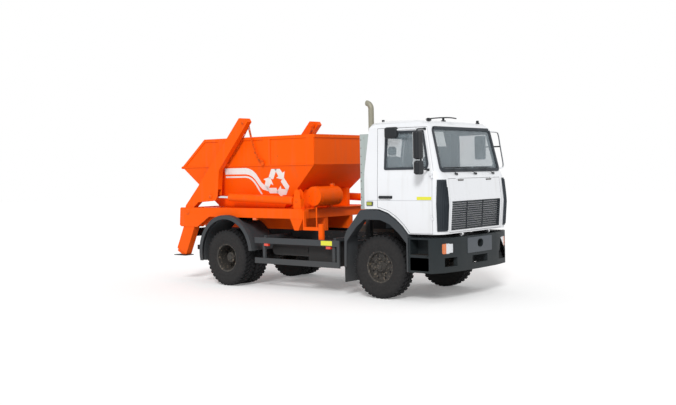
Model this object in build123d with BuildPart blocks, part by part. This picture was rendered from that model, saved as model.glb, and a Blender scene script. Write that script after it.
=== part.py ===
from build123d import *
import os
from math import atan2, cos, degrees, hypot, pi, radians, sin

os.makedirs("parts", exist_ok=True)

# A two-axle cab-over truck that carries an open refuse skip between two swinging lift arms.
# X is forward, Y is left and Z is up. The origin is on the ground under the middle of the truck.

# Chassis
wheelbase = 3700
front_overhang = 1330
rear_overhang = 1618
front_axle_x = (wheelbase + front_overhang + rear_overhang) / 2 - front_overhang
rear_axle_x = front_axle_x - wheelbase
nose_x = front_axle_x + front_overhang
tail_x = rear_axle_x - rear_overhang
rail_half_gap = 340
rail_width = 80
rail_wall = 10
rail_top = 1090
rail_bottom = 830
rail_outer_y = rail_half_gap + rail_width
rail_front = front_axle_x + 1100
rail_rear = rear_axle_x - 1360
sides = [("left", 1), ("right", -1)]

# Wheels and axles
tyre_radius = 550
tyre_width = 300
tread_width = 262
wall_radius = 470
bead_radius = 262
lug_count = 36
groove_depth = 18
groove_width = 30
tyre_fit = 0.3
rim_wall = 12
rim_width = 236
hub_radius = 110
front_wheel_y = 985
rear_outer_y = 1075
dual_spacing = 345
axle_radius = 70
kingpin_y = 800
wheel_disc_shift = 60
bearing_gap = 0.3

# Gaps
seat_gap = 0.3
part_gap = 6
pin_gap = 0.3

# Deck that carries the skip
deck_top = 1525
beam_bottom = 1345
beam_inner_y = 965
beam_outer_y = 1135
cheek_wall = 12
sheet_wall = 10
deck_front = rear_axle_x + 1960

# Lift arms and their rams
arm_y = 1050
arm_thickness = 120
arm_pivot = (rear_axle_x - 1200, 1435)
arm_foot_radius = 98
pivot_pin_radius = 40
arm_tip = (rear_axle_x + 430, 3190)
rod_pin = (rear_axle_x - 520, 1750)
ram_base = (rear_axle_x + 1780, 1675)
knee_slot = 96
barrel_radius = 76
rod_radius = 32
eye_radius = 60
eye_width = 60
ram_pin_radius = 26
tip_pin_radius = 25
barrel_length = 1800

# Skip
skip_half_width = 915
skip_floor_half_width = 760
skip_floor_z = deck_top + 5
skip_mid_z = 2350
skip_top_z = 2910
skip_wall = 8
skip_front_x = rear_axle_x + 2090
skip_lip_x = rear_axle_x - 1575
skip_rim_rear_x = rear_axle_x - 876
skip_floor_front_x = rear_axle_x + 1160
skip_floor_rear_x = rear_axle_x - 620
rim_height = 60
rim_proud = 16

# Cab
cab_half_width = 1220
cab_roof_half_width = 1160
cab_wall = 45
cab_rear_x = front_axle_x - 225
cab_rear_top_x = front_axle_x - 125
cab_nose_x = front_axle_x + 1287
cab_nose_low_x = front_axle_x + 1250
screen_low_x = front_axle_x + 1170
screen_top_x = front_axle_x + 985
cab_bottom_z = 1140
arch_top_z = 1555
waist_z = 2180
nose_z = 1650
gutter_z = 2940
roof_edge_z = 3020
roof_z = 3065
cab_hinge = (front_axle_x + 1235, 1115)
door_front_x = front_axle_x + 1180
door_front_top_x = front_axle_x + 1040
door_rear_x = front_axle_x + 45
door_top_z = 2925
lid_half_width = 840
hinge_eye_radius = 20
hinge_pin_radius = 12
door_hinge = (front_axle_x + 1100, 1136)
lid_top_z = 2055
lid_bottom_z = 1165
lid_thickness = 40
bumper_bottom = 505
bumper_top = 1085


def box_between(x0, x1, y0, y1, z0, z1, mode=Mode.ADD):
    with Locations(((x0 + x1) / 2, (y0 + y1) / 2, (z0 + z1) / 2)):
        Box(abs(x1 - x0), abs(y1 - y0), abs(z1 - z0), mode=mode)


# A plate whose outline is in X and Z, between two values of Y
def plate_xz(points, y0, y1, mode=Mode.ADD, grow=0):
    low, high = min(y0, y1), max(y0, y1)
    with BuildSketch(Plane.XZ.offset(-high)) as outline:
        with BuildLine():
            Polyline(*points, close=True)
        make_face()
        if grow:
            offset(amount=grow, kind=Kind.INTERSECTION)
    extrude(outline.sketch, amount=high - low, mode=mode)


# A plate whose outline is in X and Y, between two values of Z
def plate_xy(points, z0, z1, mode=Mode.ADD):
    with BuildSketch(Plane.XY.offset(z0)) as outline:
        with BuildLine():
            Polyline(*points, close=True)
        make_face()
    extrude(outline.sketch, amount=z1 - z0, mode=mode)


# A round bar along Y
def disc_xz(x, z, radius, y0, y1, mode=Mode.ADD):
    with Locations(Location((x, (y0 + y1) / 2, z), (90, 0, 0))):
        Cylinder(radius, abs(y1 - y0), mode=mode)


# A round bar between two points of one XZ plane
def bar_xz(start, end, y, radius, mode=Mode.ADD):
    run = (end[0] - start[0], end[1] - start[1])
    tilt = degrees(atan2(run[0], run[1]))
    middle = ((start[0] + end[0]) / 2, y, (start[1] + end[1]) / 2)
    with Locations(Location(middle, (0, tilt, 0))):
        Cylinder(radius, hypot(*run), mode=mode)


# A ring about the axle line: a list of (radius, y) points turned about Y
def turned(x, z, points, mode=Mode.ADD):
    with BuildSketch(Plane((x, 0, z), x_dir=(1, 0, 0), z_dir=(0, 0, 1))) as section:
        with BuildLine():
            Polyline(*points, close=True)
        make_face()
    revolve(section.sketch, axis=Axis((x, 0, z), (0, 1, 0)), mode=mode)


# Rails with open channels and four cross members
with BuildPart() as frame_rails:
    for side, s in sides:
        box_between(rail_rear, rail_front, s * rail_half_gap, s * rail_outer_y, rail_bottom, rail_top)
        inner_y = s * (rail_outer_y - rail_wall)
        box_between(rail_rear, rail_front, s * rail_half_gap, inner_y,
                    rail_bottom + rail_wall, rail_top - rail_wall, mode=Mode.SUBTRACT)
    for member_x in (rail_rear + 60, rear_axle_x + 700, rear_axle_x + 1300, rail_front - 60):
        end_y = rail_outer_y - rail_wall
        box_between(member_x - 50, member_x + 50, -end_y, end_y, rail_bottom + rail_wall, rail_top - rail_wall)
    for side, s in sides:
        plate_xz([(front_axle_x + 1000, rail_top - 1), (rail_front, rail_top - 1), (cab_hinge[0] - 8, 1095),
                  (cab_hinge[0], cab_hinge[1] + 20), (cab_hinge[0] - 60, 1118), (front_axle_x + 1010, 1110)],
                 s * (rail_half_gap + 10), s * (rail_outer_y - 10))
        disc_xz(*cab_hinge, hinge_eye_radius, s * (rail_half_gap + 10), s * (rail_outer_y - 10))
        disc_xz(*cab_hinge, hinge_pin_radius, s * (rail_half_gap + 10), s * (rail_outer_y + 40))
        box_between(cab_rear_x + 25, cab_rear_x + 85, s * (rail_half_gap + 5), s * (rail_outer_y - 5),
                    rail_top - 1, arch_top_z - seat_gap)
frame_rails.part.label = "frame_rails"
export_step(frame_rails.part, "parts/frame_rails.step")

# Engine with its sump, gearbox and radiator as one plain mass between the rails
engine_half_width = 320
engine_rear_x = front_axle_x - 620
gearbox_rear_x = front_axle_x - 1250
with BuildPart() as engine_block:
    box_between(engine_rear_x, front_axle_x + 300, -engine_half_width, engine_half_width, 760, 1430)
    box_between(front_axle_x + 300, front_axle_x + 640, -engine_half_width, engine_half_width, 790, 1100)
    box_between(gearbox_rear_x, engine_rear_x, -220, 220, 800, 1200)
    for mount_x in (front_axle_x - 500, front_axle_x + 400):
        mount_y = rail_outer_y - rail_wall - seat_gap
        box_between(mount_x - 50, mount_x + 50, -mount_y, mount_y, 880, 960)
engine_block.part.label = "engine_block"
export_step(engine_block.part, "parts/engine_block.step")

# Front axle beam, dropped between its ends, with an eye for each kingpin
beam_z = 470
kingpin_radius = 28
eye_half_height = 85
fork_half_height = 135
rear_hub_y = 820
housing_radius = 215
housing_depth = 260
pinion_radius = 85
pinion_middle = 220
pinion_length = 220
with BuildPart() as axles:
    box_between(front_axle_x - 50, front_axle_x + 50, -690, 690, beam_z - 55, beam_z + 45)
    for side, s in sides:
        box_between(front_axle_x - 50, front_axle_x + 50, s * 620, s * 690, beam_z - 55, tyre_radius + 70)
        box_between(front_axle_x - 50, front_axle_x + 50, s * 680, s * kingpin_y, tyre_radius - 70, tyre_radius + 70)
        with Locations((front_axle_x, s * kingpin_y, tyre_radius)):
            Cylinder(55, 2 * eye_half_height)
            Cylinder(kingpin_radius + pin_gap, 400, mode=Mode.SUBTRACT)
        box_between(front_axle_x - 60, front_axle_x + 60, s * 335, s * 425, beam_z + 45, 580)
    disc_xz(rear_axle_x, tyre_radius, axle_radius, -rear_hub_y, rear_hub_y)
    with Locations(Location((rear_axle_x, 0, tyre_radius), (0, 90, 0))):
        Cylinder(housing_radius, housing_depth)
    with Locations(Location((rear_axle_x + pinion_middle, 0, tyre_radius), (0, 90, 0))):
        Cylinder(pinion_radius, pinion_length)
    for side, s in sides:
        box_between(rear_axle_x - 70, rear_axle_x + 70, s * 335, s * 425, tyre_radius + 40, tyre_radius + 90)
axles.part.label = "axles"
export_step(axles.part, "parts/axles.step")

# Propeller shaft from the gearbox to the differential
with BuildPart() as propshaft:
    shaft_start = (rear_axle_x + 330 + seat_gap, tyre_radius)
    shaft_end = (gearbox_rear_x - seat_gap, 940)
    plate_xz([(shaft_start[0], shaft_start[1] - 60), (shaft_start[0], shaft_start[1] + 60),
              (shaft_start[0] + 40, shaft_start[1] + 60), (shaft_start[0] + 40, shaft_start[1] - 60)], -60, 60)
    plate_xz([(shaft_end[0], shaft_end[1] - 60), (shaft_end[0], shaft_end[1] + 60),
              (shaft_end[0] - 40, shaft_end[1] + 60), (shaft_end[0] - 40, shaft_end[1] - 60)], -60, 60)
    bar_xz((shaft_start[0] + 30, shaft_start[1]), (shaft_end[0] - 30, shaft_end[1]), 0, 45)
propshaft.part.label = "propshaft"
export_step(propshaft.part, "parts/propshaft.step")

# Leaf springs: an arched stack of leaves between two hangers under each rail
spring_rows = [  # axle x, seat height, half length
    (front_axle_x, 580, 640),
    (rear_axle_x, tyre_radius + 90, 700),
]
with BuildPart() as leaf_springs:
    for axle_x, seat_z, half_length in spring_rows:
        low = seat_z + seat_gap
        for side, s in sides:
            plate_xz([(axle_x - 200, low), (axle_x + 200, low), (axle_x + half_length, low + 120),
                      (axle_x + half_length, low + 150), (axle_x + 260, low + 70),
                      (axle_x - 260, low + 70), (axle_x - half_length, low + 150),
                      (axle_x - half_length, low + 120)], s * 345, s * 415)
            for end in (-1, 1):
                hanger_x = axle_x + end * half_length
                plate_xz([(hanger_x - 40, low + 105), (hanger_x + 40, low + 105),
                          (hanger_x + 70, rail_bottom - seat_gap), (hanger_x - 70, rail_bottom - seat_gap)],
                         s * 350, s * 410)
leaf_springs.part.label = "leaf_springs"
export_step(leaf_springs.part, "parts/leaf_springs.step")

# Knuckles: a fork round each axle end, its stub shaft and a steering arm to the rear
stub_radius = 45
tie_x = front_axle_x - 230
for side, s in sides:
    with BuildPart() as knuckle:
        for low, high in ((tyre_radius - fork_half_height, tyre_radius - eye_half_height - seat_gap),
                          (tyre_radius + eye_half_height + seat_gap, tyre_radius + fork_half_height)):
            box_between(front_axle_x - 60, front_axle_x + 60, s * (kingpin_y - 55), s * (kingpin_y + 90), low, high)
        box_between(front_axle_x - 60, front_axle_x + 60, s * (kingpin_y + 62), s * (kingpin_y + 90),
                    tyre_radius - fork_half_height, tyre_radius + fork_half_height)
        with Locations((front_axle_x, s * kingpin_y, tyre_radius)):
            Cylinder(kingpin_radius, 2 * fork_half_height)
        disc_xz(front_axle_x, tyre_radius, stub_radius, s * (kingpin_y + 80), s * (front_wheel_y + 90))
        box_between(tie_x - 30, front_axle_x - 40, s * (kingpin_y - 50), s * (kingpin_y + 10),
                    tyre_radius - fork_half_height, tyre_radius - fork_half_height + 30)
    knuckle.part.label = f"knuckle_{side}"
    export_step(knuckle.part, f"parts/knuckle_{side}.step")

# Tie rod behind the axle, between the two steering arms
tie_radius = 20
tie_z = tyre_radius - fork_half_height - seat_gap - 10 - tie_radius
with BuildPart() as tie_rod:
    disc_xz(tie_x, tie_z, tie_radius, -kingpin_y + 10, kingpin_y - 10)
    for side, s in sides:
        with Locations((tie_x, s * (kingpin_y - 20), tie_z + tie_radius / 2 + 5)):
            Cylinder(22, tie_radius + 10)
tie_rod.part.label = "tie_rod"
export_step(tie_rod.part, "parts/tie_rod.step")


# A tyre: straight lugs round the tread between grooves, and flat walls that reach out to the bead
def tyre_at(x, middle):
    with BuildSketch(Plane.XZ.offset(-middle - tread_width / 2)) as tread:
        with Locations((x, tyre_radius)):
            RegularPolygon(tyre_radius, lug_count, major_radius=False, rotation=180 / lug_count)
            with PolarLocations(tyre_radius, lug_count, start_angle=90 + 180 / lug_count):
                Rectangle(2 * groove_depth, groove_width, mode=Mode.SUBTRACT)
            Circle(bead_radius, mode=Mode.SUBTRACT)
    extrude(tread.sketch, amount=tread_width)
    wall = (tyre_width - tread_width) / 2
    for wall_low in (middle - tyre_width / 2, middle + tread_width / 2):
        with BuildSketch(Plane.XZ.offset(-wall_low - wall)) as side_wall:
            with Locations((x, tyre_radius)):
                RegularPolygon(wall_radius, lug_count)
                Circle(bead_radius, mode=Mode.SUBTRACT)
        extrude(side_wall.sketch, amount=wall)


# Wheels: front ones are single, rear ones are twins on one body
disc_thickness = 14
for side, s in sides:
    with BuildPart() as front_tyre:
        tyre_at(front_axle_x, s * front_wheel_y)
    front_tyre.part.label = f"front_tyre_{side}"
    export_step(front_tyre.part, f"parts/front_tyre_{side}.step")

    outer_r = bead_radius - tyre_fit
    inner_r = outer_r - rim_wall
    lip = rim_width / 2
    disc_y = front_wheel_y + wheel_disc_shift
    with BuildPart() as front_rim:
        points = [(inner_r, front_wheel_y - lip), (outer_r, front_wheel_y - lip),
                  (outer_r, front_wheel_y + lip), (inner_r, front_wheel_y + lip)]
        turned(front_axle_x, tyre_radius, [(r, s * y) for r, y in points])
        points = [(stub_radius + bearing_gap, disc_y - 50), (hub_radius, disc_y - 50),
                  (hub_radius, disc_y), (inner_r + 2, disc_y), (inner_r + 2, disc_y + disc_thickness),
                  (hub_radius, disc_y + disc_thickness), (hub_radius - 30, disc_y + 60), (0, disc_y + 60),
                  (0, disc_y + 50), (stub_radius + bearing_gap, disc_y + 50)]
        turned(front_axle_x, tyre_radius, [(r, s * y) for r, y in points])
    front_rim.part.label = f"front_rim_{side}"
    export_step(front_rim.part, f"parts/front_rim_{side}.step")

    with BuildPart() as rear_tyres:
        for middle in (rear_outer_y, rear_outer_y - dual_spacing):
            tyre_at(rear_axle_x, s * middle)
    rear_tyres.part.label = f"rear_tyres_{side}"
    export_step(rear_tyres.part, f"parts/rear_tyres_{side}.step")

    twin_mid = rear_outer_y - dual_spacing / 2
    with BuildPart() as rear_rims:
        points = [(inner_r, rear_outer_y - dual_spacing - lip), (outer_r, rear_outer_y - dual_spacing - lip),
                  (outer_r, rear_outer_y + lip), (inner_r, rear_outer_y + lip)]
        turned(rear_axle_x, tyre_radius, [(r, s * y) for r, y in points])
        points = [(axle_radius + bearing_gap, twin_mid - 150), (hub_radius + 20, twin_mid - 150),
                  (hub_radius + 20, twin_mid - 14), (inner_r + 2, twin_mid - 14), (inner_r + 2, twin_mid + 14),
                  (hub_radius + 20, twin_mid + 14), (hub_radius - 10, twin_mid + 190), (0, twin_mid + 190),
                  (0, rear_hub_y + bearing_gap), (axle_radius + bearing_gap, rear_hub_y + bearing_gap)]
        turned(rear_axle_x, tyre_radius, [(r, s * y) for r, y in points])
    rear_rims.part.label = f"rear_rims_{side}"
    export_step(rear_rims.part, f"parts/rear_rims_{side}.step")

# Deck frame: two longitudinals on the rails, cross beams and the sheet between the side beams
with BuildPart() as deck_frame:
    low = rail_top + seat_gap
    for side, s in sides:
        box_between(rear_axle_x - 1460, deck_front - 60, s * rail_half_gap, s * rail_outer_y, low, beam_bottom + 1)
    for beam_x in (-1430, -1010, -250, 350, 1100, 1860):
        box_between(rear_axle_x + beam_x - 50, rear_axle_x + beam_x + 50, -beam_inner_y + seat_gap,
                    beam_inner_y - seat_gap, beam_bottom, deck_top - sheet_wall)
    box_between(rear_axle_x - 870, deck_front, -beam_inner_y + seat_gap, beam_inner_y - seat_gap,
                deck_top - sheet_wall, deck_top)
deck_frame.part.label = "deck_frame"
export_step(deck_frame.part, "parts/deck_frame.step")

# Side beams with the cheek plates that hold each arm's foot and stabiliser
cheek_outline = [(-1425, deck_top - 20), (-1450, 1158), (-1400, 1130), (-920, 1130),
                 (-560, beam_bottom), (-560, deck_top), (-1400, deck_top)]
lug_thickness = 14
with BuildPart() as side_beams:
    for side, s in sides:
        box_between(rear_axle_x - 800, deck_front, s * beam_inner_y, s * beam_outer_y, beam_bottom, deck_top)
        for inner, outer in ((beam_inner_y, beam_inner_y + cheek_wall), (beam_outer_y - cheek_wall, beam_outer_y)):
            plate_xz([(rear_axle_x + x, z) for x, z in cheek_outline], s * inner, s * outer)
        disc_xz(arm_pivot[0], arm_pivot[1], pivot_pin_radius + pin_gap, s * (beam_inner_y - 5),
                s * (beam_outer_y + 5), mode=Mode.SUBTRACT)
        base_x, base_z = ram_base
        inner_lug = arm_y - eye_width / 2 - part_gap
        outer_lug = arm_y + eye_width / 2 + part_gap
        for low_y, high_y in ((inner_lug - lug_thickness, inner_lug), (outer_lug, outer_lug + lug_thickness)):
            plate_xz([(base_x - 70, deck_top - 2), (base_x + 110, deck_top - 2),
                      (base_x + 90, base_z + 160), (base_x + 30, base_z + 220), (base_x - 40, base_z + 200),
                      (base_x - 80, base_z)], s * low_y, s * high_y)
        disc_xz(base_x, base_z, ram_pin_radius, s * (inner_lug - lug_thickness - 10),
                s * (outer_lug + lug_thickness + 10))
        box_between(base_x + 92, base_x + 106, s * (inner_lug - lug_thickness), s * (outer_lug + lug_thickness),
                    deck_top - 2, base_z + 40)
side_beams.part.label = "side_beams"
export_step(side_beams.part, "parts/side_beams.step")

# Stabiliser sleeves, sloped to the rear, and the legs that slide out of them
leg_top = (rear_axle_x - 1140, 1215)
leg_bottom = (rear_axle_x - 1424, 615)
leg_run = (leg_bottom[0] - leg_top[0], leg_bottom[1] - leg_top[1])
leg_length = hypot(*leg_run)
leg_along = (leg_run[0] / leg_length, leg_run[1] / leg_length)
leg_across = (-leg_along[1], leg_along[0])
sleeve_width = 300
sleeve_wall = 12
leg_gap = 5
foot_z = 530
foot_thickness = 14
foot_length = 360
foot_half_width = 115


def leg_outline(start, end, width):
    points = []
    for along, across in ((start, -1), (start, 1), (end, 1), (end, -1)):
        x = leg_top[0] + leg_along[0] * along + leg_across[0] * across * width / 2
        z = leg_top[1] + leg_along[1] * along + leg_across[1] * across * width / 2
        points.append((x, z))
    return points


sleeve_low_y = beam_inner_y + cheek_wall + seat_gap
sleeve_high_y = beam_outer_y - cheek_wall - seat_gap
leg_low_y = sleeve_low_y + sleeve_wall + leg_gap
leg_high_y = sleeve_high_y - sleeve_wall - leg_gap
leg_stick_out = 60
with BuildPart() as leg_sleeves:
    for side, s in sides:
        plate_xz(leg_outline(0, leg_length, sleeve_width), s * sleeve_low_y, s * sleeve_high_y)
        plate_xz(leg_outline(-10, leg_length + 10, sleeve_width - 2 * sleeve_wall),
                 s * (sleeve_low_y + sleeve_wall), s * (sleeve_high_y - sleeve_wall), mode=Mode.SUBTRACT)
        for pad_low, pad_high in ((sleeve_low_y + sleeve_wall - 1, leg_low_y - seat_gap),
                                  (leg_high_y + seat_gap, sleeve_high_y - sleeve_wall + 1)):
            for pad_start in (60, leg_length - 160):
                plate_xz(leg_outline(pad_start, pad_start + 100, 120), s * pad_low, s * pad_high)
leg_sleeves.part.label = "leg_sleeves"
export_step(leg_sleeves.part, "parts/leg_sleeves.step")

for side, s in sides:
    with BuildPart() as leg:
        plate_xz(leg_outline(0, leg_length + leg_stick_out, sleeve_width - 2 * sleeve_wall - 2 * leg_gap),
                 s * leg_low_y, s * leg_high_y)
        box_between(tail_x - 600, tail_x + 900, s * (leg_low_y - 10), s * (leg_high_y + 10), 0, foot_z + 2,
                    mode=Mode.SUBTRACT)
        box_between(tail_x, tail_x + foot_length, s * (arm_y - foot_half_width), s * (arm_y + foot_half_width),
                    foot_z, foot_z + foot_thickness)
    leg.part.label = f"leg_{side}"
    export_step(leg.part, f"parts/leg_{side}.step")

# Lift arms: a box section above and two knee plates below, open towards the ram
arm_outline = [(-1298, 1460), (-1290, 1560), (-911, 1942), (317, 3285), (510, 3270), (555, 3200),
               (-275, 2275), (-328, 1760), (-390, 1670), (-900, 1632), (-1050, 1520), (-1110, 1400), (-1270, 1390)]
slot_outline = [(-1010, 1480), (-985, 1680), (-900, 1790), (-720, 1890), (-200, 1890), (-200, 1480)]
for side, s in sides:
    with BuildPart() as arm:
        y0, y1 = s * (arm_y - arm_thickness / 2), s * (arm_y + arm_thickness / 2)
        plate_xz([(rear_axle_x + x, z) for x, z in arm_outline], y0, y1)
        disc_xz(arm_pivot[0], arm_pivot[1], arm_foot_radius, y0, y1)
        slot_y = (s * (arm_y - knee_slot / 2), s * (arm_y + knee_slot / 2))
        plate_xz([(rear_axle_x + x, z) for x, z in slot_outline], *slot_y, mode=Mode.SUBTRACT)
        disc_xz(arm_tip[0], arm_tip[1], tip_pin_radius, s * (skip_half_width + 22), s * (arm_y - arm_thickness / 2 + 1))
        disc_xz(rod_pin[0], rod_pin[1], 48, s * (arm_y + arm_thickness / 2), s * (arm_y + arm_thickness / 2 + 14))
        disc_xz(arm_tip[0], arm_tip[1], 42, s * (arm_y + arm_thickness / 2), s * (arm_y + arm_thickness / 2 + 16))
    arm.part.label = f"arm_{side}"
    export_step(arm.part, f"parts/arm_{side}.step")

# Cross tube that ties the two arms together at their pivot, with its stub shafts
arm_inner_y = arm_y - arm_thickness / 2
arm_outer_y = arm_y + arm_thickness / 2
with BuildPart() as arm_tube:
    disc_xz(arm_pivot[0], arm_pivot[1], 70, -beam_inner_y + part_gap, beam_inner_y - part_gap)
    disc_xz(arm_pivot[0], arm_pivot[1], pivot_pin_radius, -arm_inner_y, arm_inner_y)
    for side, s in sides:
        disc_xz(arm_pivot[0], arm_pivot[1], pivot_pin_radius, s * arm_outer_y, s * (beam_outer_y + 18))
arm_tube.part.label = "arm_tube"
export_step(arm_tube.part, "parts/arm_tube.step")

# Rams: the barrel turns in a bracket on the side beam, the rod's eye lies in the arm's knee
ram_run = (rod_pin[0] - ram_base[0], rod_pin[1] - ram_base[1])
ram_length = hypot(*ram_run)
ram_along = (ram_run[0] / ram_length, ram_run[1] / ram_length)


def on_ram(distance):
    return (ram_base[0] + ram_along[0] * distance, ram_base[1] + ram_along[1] * distance)


for side, s in sides:
    with BuildPart() as barrel:
        bar_xz(on_ram(100), on_ram(barrel_length), s * arm_y, barrel_radius)
        disc_xz(ram_base[0], ram_base[1], eye_radius + 10, s * (arm_y - eye_width / 2), s * (arm_y + eye_width / 2))
        bar_xz(on_ram(20), on_ram(110), s * arm_y, 28)
        disc_xz(ram_base[0], ram_base[1], ram_pin_radius + pin_gap,
                s * (arm_y - eye_width / 2), s * (arm_y + eye_width / 2), mode=Mode.SUBTRACT)
        bar_xz(on_ram(190), on_ram(barrel_length + 1), s * arm_y, rod_radius + pin_gap, mode=Mode.SUBTRACT)
    barrel.part.label = f"barrel_{side}"
    export_step(barrel.part, f"parts/barrel_{side}.step")

    with BuildPart() as rod:
        bar_xz(on_ram(420), on_ram(ram_length - eye_radius + 10), s * arm_y, rod_radius)
        disc_xz(rod_pin[0], rod_pin[1], eye_radius, s * (arm_y - eye_width / 2), s * (arm_y + eye_width / 2))
        disc_xz(rod_pin[0], rod_pin[1], ram_pin_radius,
                s * (arm_y - eye_width / 2), s * (arm_y + eye_width / 2), mode=Mode.SUBTRACT)
    rod.part.label = f"rod_{side}"
    export_step(rod.part, f"parts/rod_{side}.step")


# One hull of the skip, grown inwards by the given wall
def skip_hull(wall, open_by):
    floor_z = skip_floor_z + wall
    low_rear, low_front = skip_floor_rear_x + wall, skip_floor_front_x - wall
    top_rear, top_front = skip_lip_x + 1.4 * wall, skip_front_x - 15 - 1.4 * wall
    low_y, top_y = skip_floor_half_width - wall, skip_half_width - wall
    with BuildPart(mode=Mode.PRIVATE) as lower_half:
        plate_xz([(low_rear, floor_z), (low_front, floor_z), (top_front, skip_mid_z), (top_rear, skip_mid_z)],
                 -top_y, top_y)
        with BuildSketch(Plane.YZ.offset(top_rear)) as end_outline:
            with BuildLine():
                Polyline((-low_y, floor_z), (low_y, floor_z), (top_y, skip_mid_z), (-top_y, skip_mid_z), close=True)
            make_face()
        extrude(end_outline.sketch, amount=top_front - top_rear, mode=Mode.INTERSECT)
    add(lower_half.part)
    plate_xz([(skip_lip_x - open_by + wall, skip_mid_z), (top_front, skip_mid_z),
              (skip_front_x - wall, skip_top_z + open_by), (skip_rim_rear_x - open_by, skip_top_z + open_by)],
             -top_y, top_y)


with BuildPart(mode=Mode.PRIVATE) as skip_inside:
    skip_hull(skip_wall, 40)

post_width = 180
post_proud = 14
skip_posts = [-380, 880, 1990]
hook_z = skip_mid_z + 40
hook_pin_radius = 22
trunnion_x = [rear_axle_x - 200, rear_axle_x + 800]
with BuildPart() as skip:
    skip_hull(0, 0)
    add(skip_inside.part, mode=Mode.SUBTRACT)
    for side, s in sides:
        y0 = s * (skip_half_width - 1)
        y1 = s * (skip_half_width + rim_proud)
        plate_xz([(skip_rim_rear_x - 50, skip_top_z - rim_height), (skip_front_x, skip_top_z - rim_height),
                  (skip_front_x, skip_top_z), (skip_rim_rear_x, skip_top_z)], y0, y1)
        plate_xz([(skip_lip_x, skip_mid_z), (skip_lip_x + 80, skip_mid_z), (skip_rim_rear_x + 70, skip_top_z - 10),
                  (skip_rim_rear_x, skip_top_z)], y0, y1)
        box_between(skip_lip_x + 20, skip_front_x - 20, y0, y1 - s * 4, skip_mid_z - 10, skip_mid_z + 14)
        for post in skip_posts:
            box_between(rear_axle_x + post - post_width / 2, rear_axle_x + post + post_width / 2,
                        y0, s * (skip_half_width + post_proud), skip_mid_z, skip_top_z)
        for hook_x in trunnion_x:
            disc_xz(hook_x, hook_z, hook_pin_radius, y0, s * (skip_half_width + 60))
    box_between(skip_front_x - 4, skip_front_x + rim_proud, -skip_half_width - rim_proud,
                skip_half_width + rim_proud, skip_top_z - rim_height, skip_top_z)
    disc_xz(skip_lip_x + 2, skip_mid_z - 6, 26, -skip_half_width - rim_proud, skip_half_width + rim_proud)
skip.part.label = "skip"
export_step(skip.part, "parts/skip.step")

# Chains: oblong links, each turned a quarter from the last, between a ring on the arm's tip and one on the skip
chain_y = 957
link_width = 44
link_bar = 13
ring_half_width = 10
tip_ring_radius = 46
hook_ring_radius = 38


def chain_route(start, end, sag, count):
    points = []
    for i in range(count + 1):
        t = i / count
        x = start[0] + (end[0] - start[0]) * t
        z = start[1] + (end[1] - start[1]) * t - sag * 4 * t * (1 - t)
        points.append((x, z))
    return points


def ring_at(x, z, inner, outer, y, mode=Mode.ADD):
    disc_xz(x, z, outer, y - ring_half_width, y + ring_half_width)
    disc_xz(x, z, inner, y - ring_half_width - 1, y + ring_half_width + 1, mode=Mode.SUBTRACT)


chain_rows = [  # lower end, sag, links
    (trunnion_x[1], 190, 13),
    (trunnion_x[0], 60, 13),
]
links = []
for side, s in sides:
    for foot_x, sag, count in chain_rows:
        route = chain_route((arm_tip[0], arm_tip[1] - tip_ring_radius - 4), (foot_x, hook_z + hook_ring_radius + 4),
                            sag, count)
        for i in range(count):
            (xa, za), (xb, zb) = route[i], route[i + 1]
            slope = degrees(atan2(xb - xa, zb - za))
            pitch = hypot(xb - xa, zb - za)
            turn = 0 if i % 2 == 0 else 90
            place = Location(((xa + xb) / 2, s * chain_y, (za + zb) / 2), (0, slope, 0))
            with BuildPart(mode=Mode.PRIVATE) as link:
                Box(link_width, link_bar, pitch + 2 * link_bar - 3)
                Box(link_width - 2 * link_bar, link_bar + 2, pitch - 3, mode=Mode.SUBTRACT)
            links.append(link.part.moved(place * Location((0, 0, 0), (0, 0, turn))))
with BuildPart() as chains:
    add(links)
    for side, s in sides:
        ring_at(arm_tip[0], arm_tip[1], tip_pin_radius + pin_gap, tip_ring_radius, s * chain_y)
        for hook_x in trunnion_x:
            ring_at(hook_x, hook_z, hook_pin_radius + pin_gap, hook_ring_radius, s * chain_y)
chains.part.label = "chains"
export_step(chains.part, "parts/chains.step")

# Cab sections from the sill to the roof: height, rear, front, half width behind, half width in front, corner
cab_sections = [
    (cab_bottom_z, cab_rear_x, cab_nose_low_x, 1220, 1110, 190),
    (nose_z, cab_rear_x, cab_nose_x, 1225, 1115, 190),
    (lid_top_z, cab_rear_x, front_axle_x + 1240, 1222, 1110, 190),
    (waist_z, cab_rear_x, screen_low_x, 1216, 1092, 150),
    (gutter_z, cab_rear_top_x, screen_top_x, 1190, 1020, 110),
    (roof_edge_z, front_axle_x - 95, front_axle_x + 900, 1110, 940, 100),
    (roof_z, front_axle_x + 10, front_axle_x + 620, 900, 760, 90),
]
rear_corner = 60


# The cab's outer form, drawn in by a wall
def cab_form(inset, mode=Mode.ADD, round_corners=True):
    sections = []
    for row, (z, rear, front, rear_half, front_half, corner) in enumerate(cab_sections):
        last = row == len(cab_sections) - 1
        with BuildSketch(Plane.XY.offset(z - (inset if last else 0))) as section:
            with BuildLine():
                Polyline((rear + inset, -rear_half + inset), (front - inset, -front_half + inset),
                         (front - inset, front_half - inset), (rear + inset, rear_half - inset), close=True)
            make_face()
            front_corners = section.vertices().group_by(Axis.X)[-1]
            back_corners = section.vertices().group_by(Axis.X)[0]
            if round_corners:
                fillet(front_corners, radius=corner - inset)
                fillet(back_corners, radius=rear_corner - inset)
            else:
                chamfer(front_corners, length=corner - inset)
                chamfer(back_corners, length=rear_corner - inset)
        sections.append(section.sketch)
    loft(sections, ruled=True, mode=mode)


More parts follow.
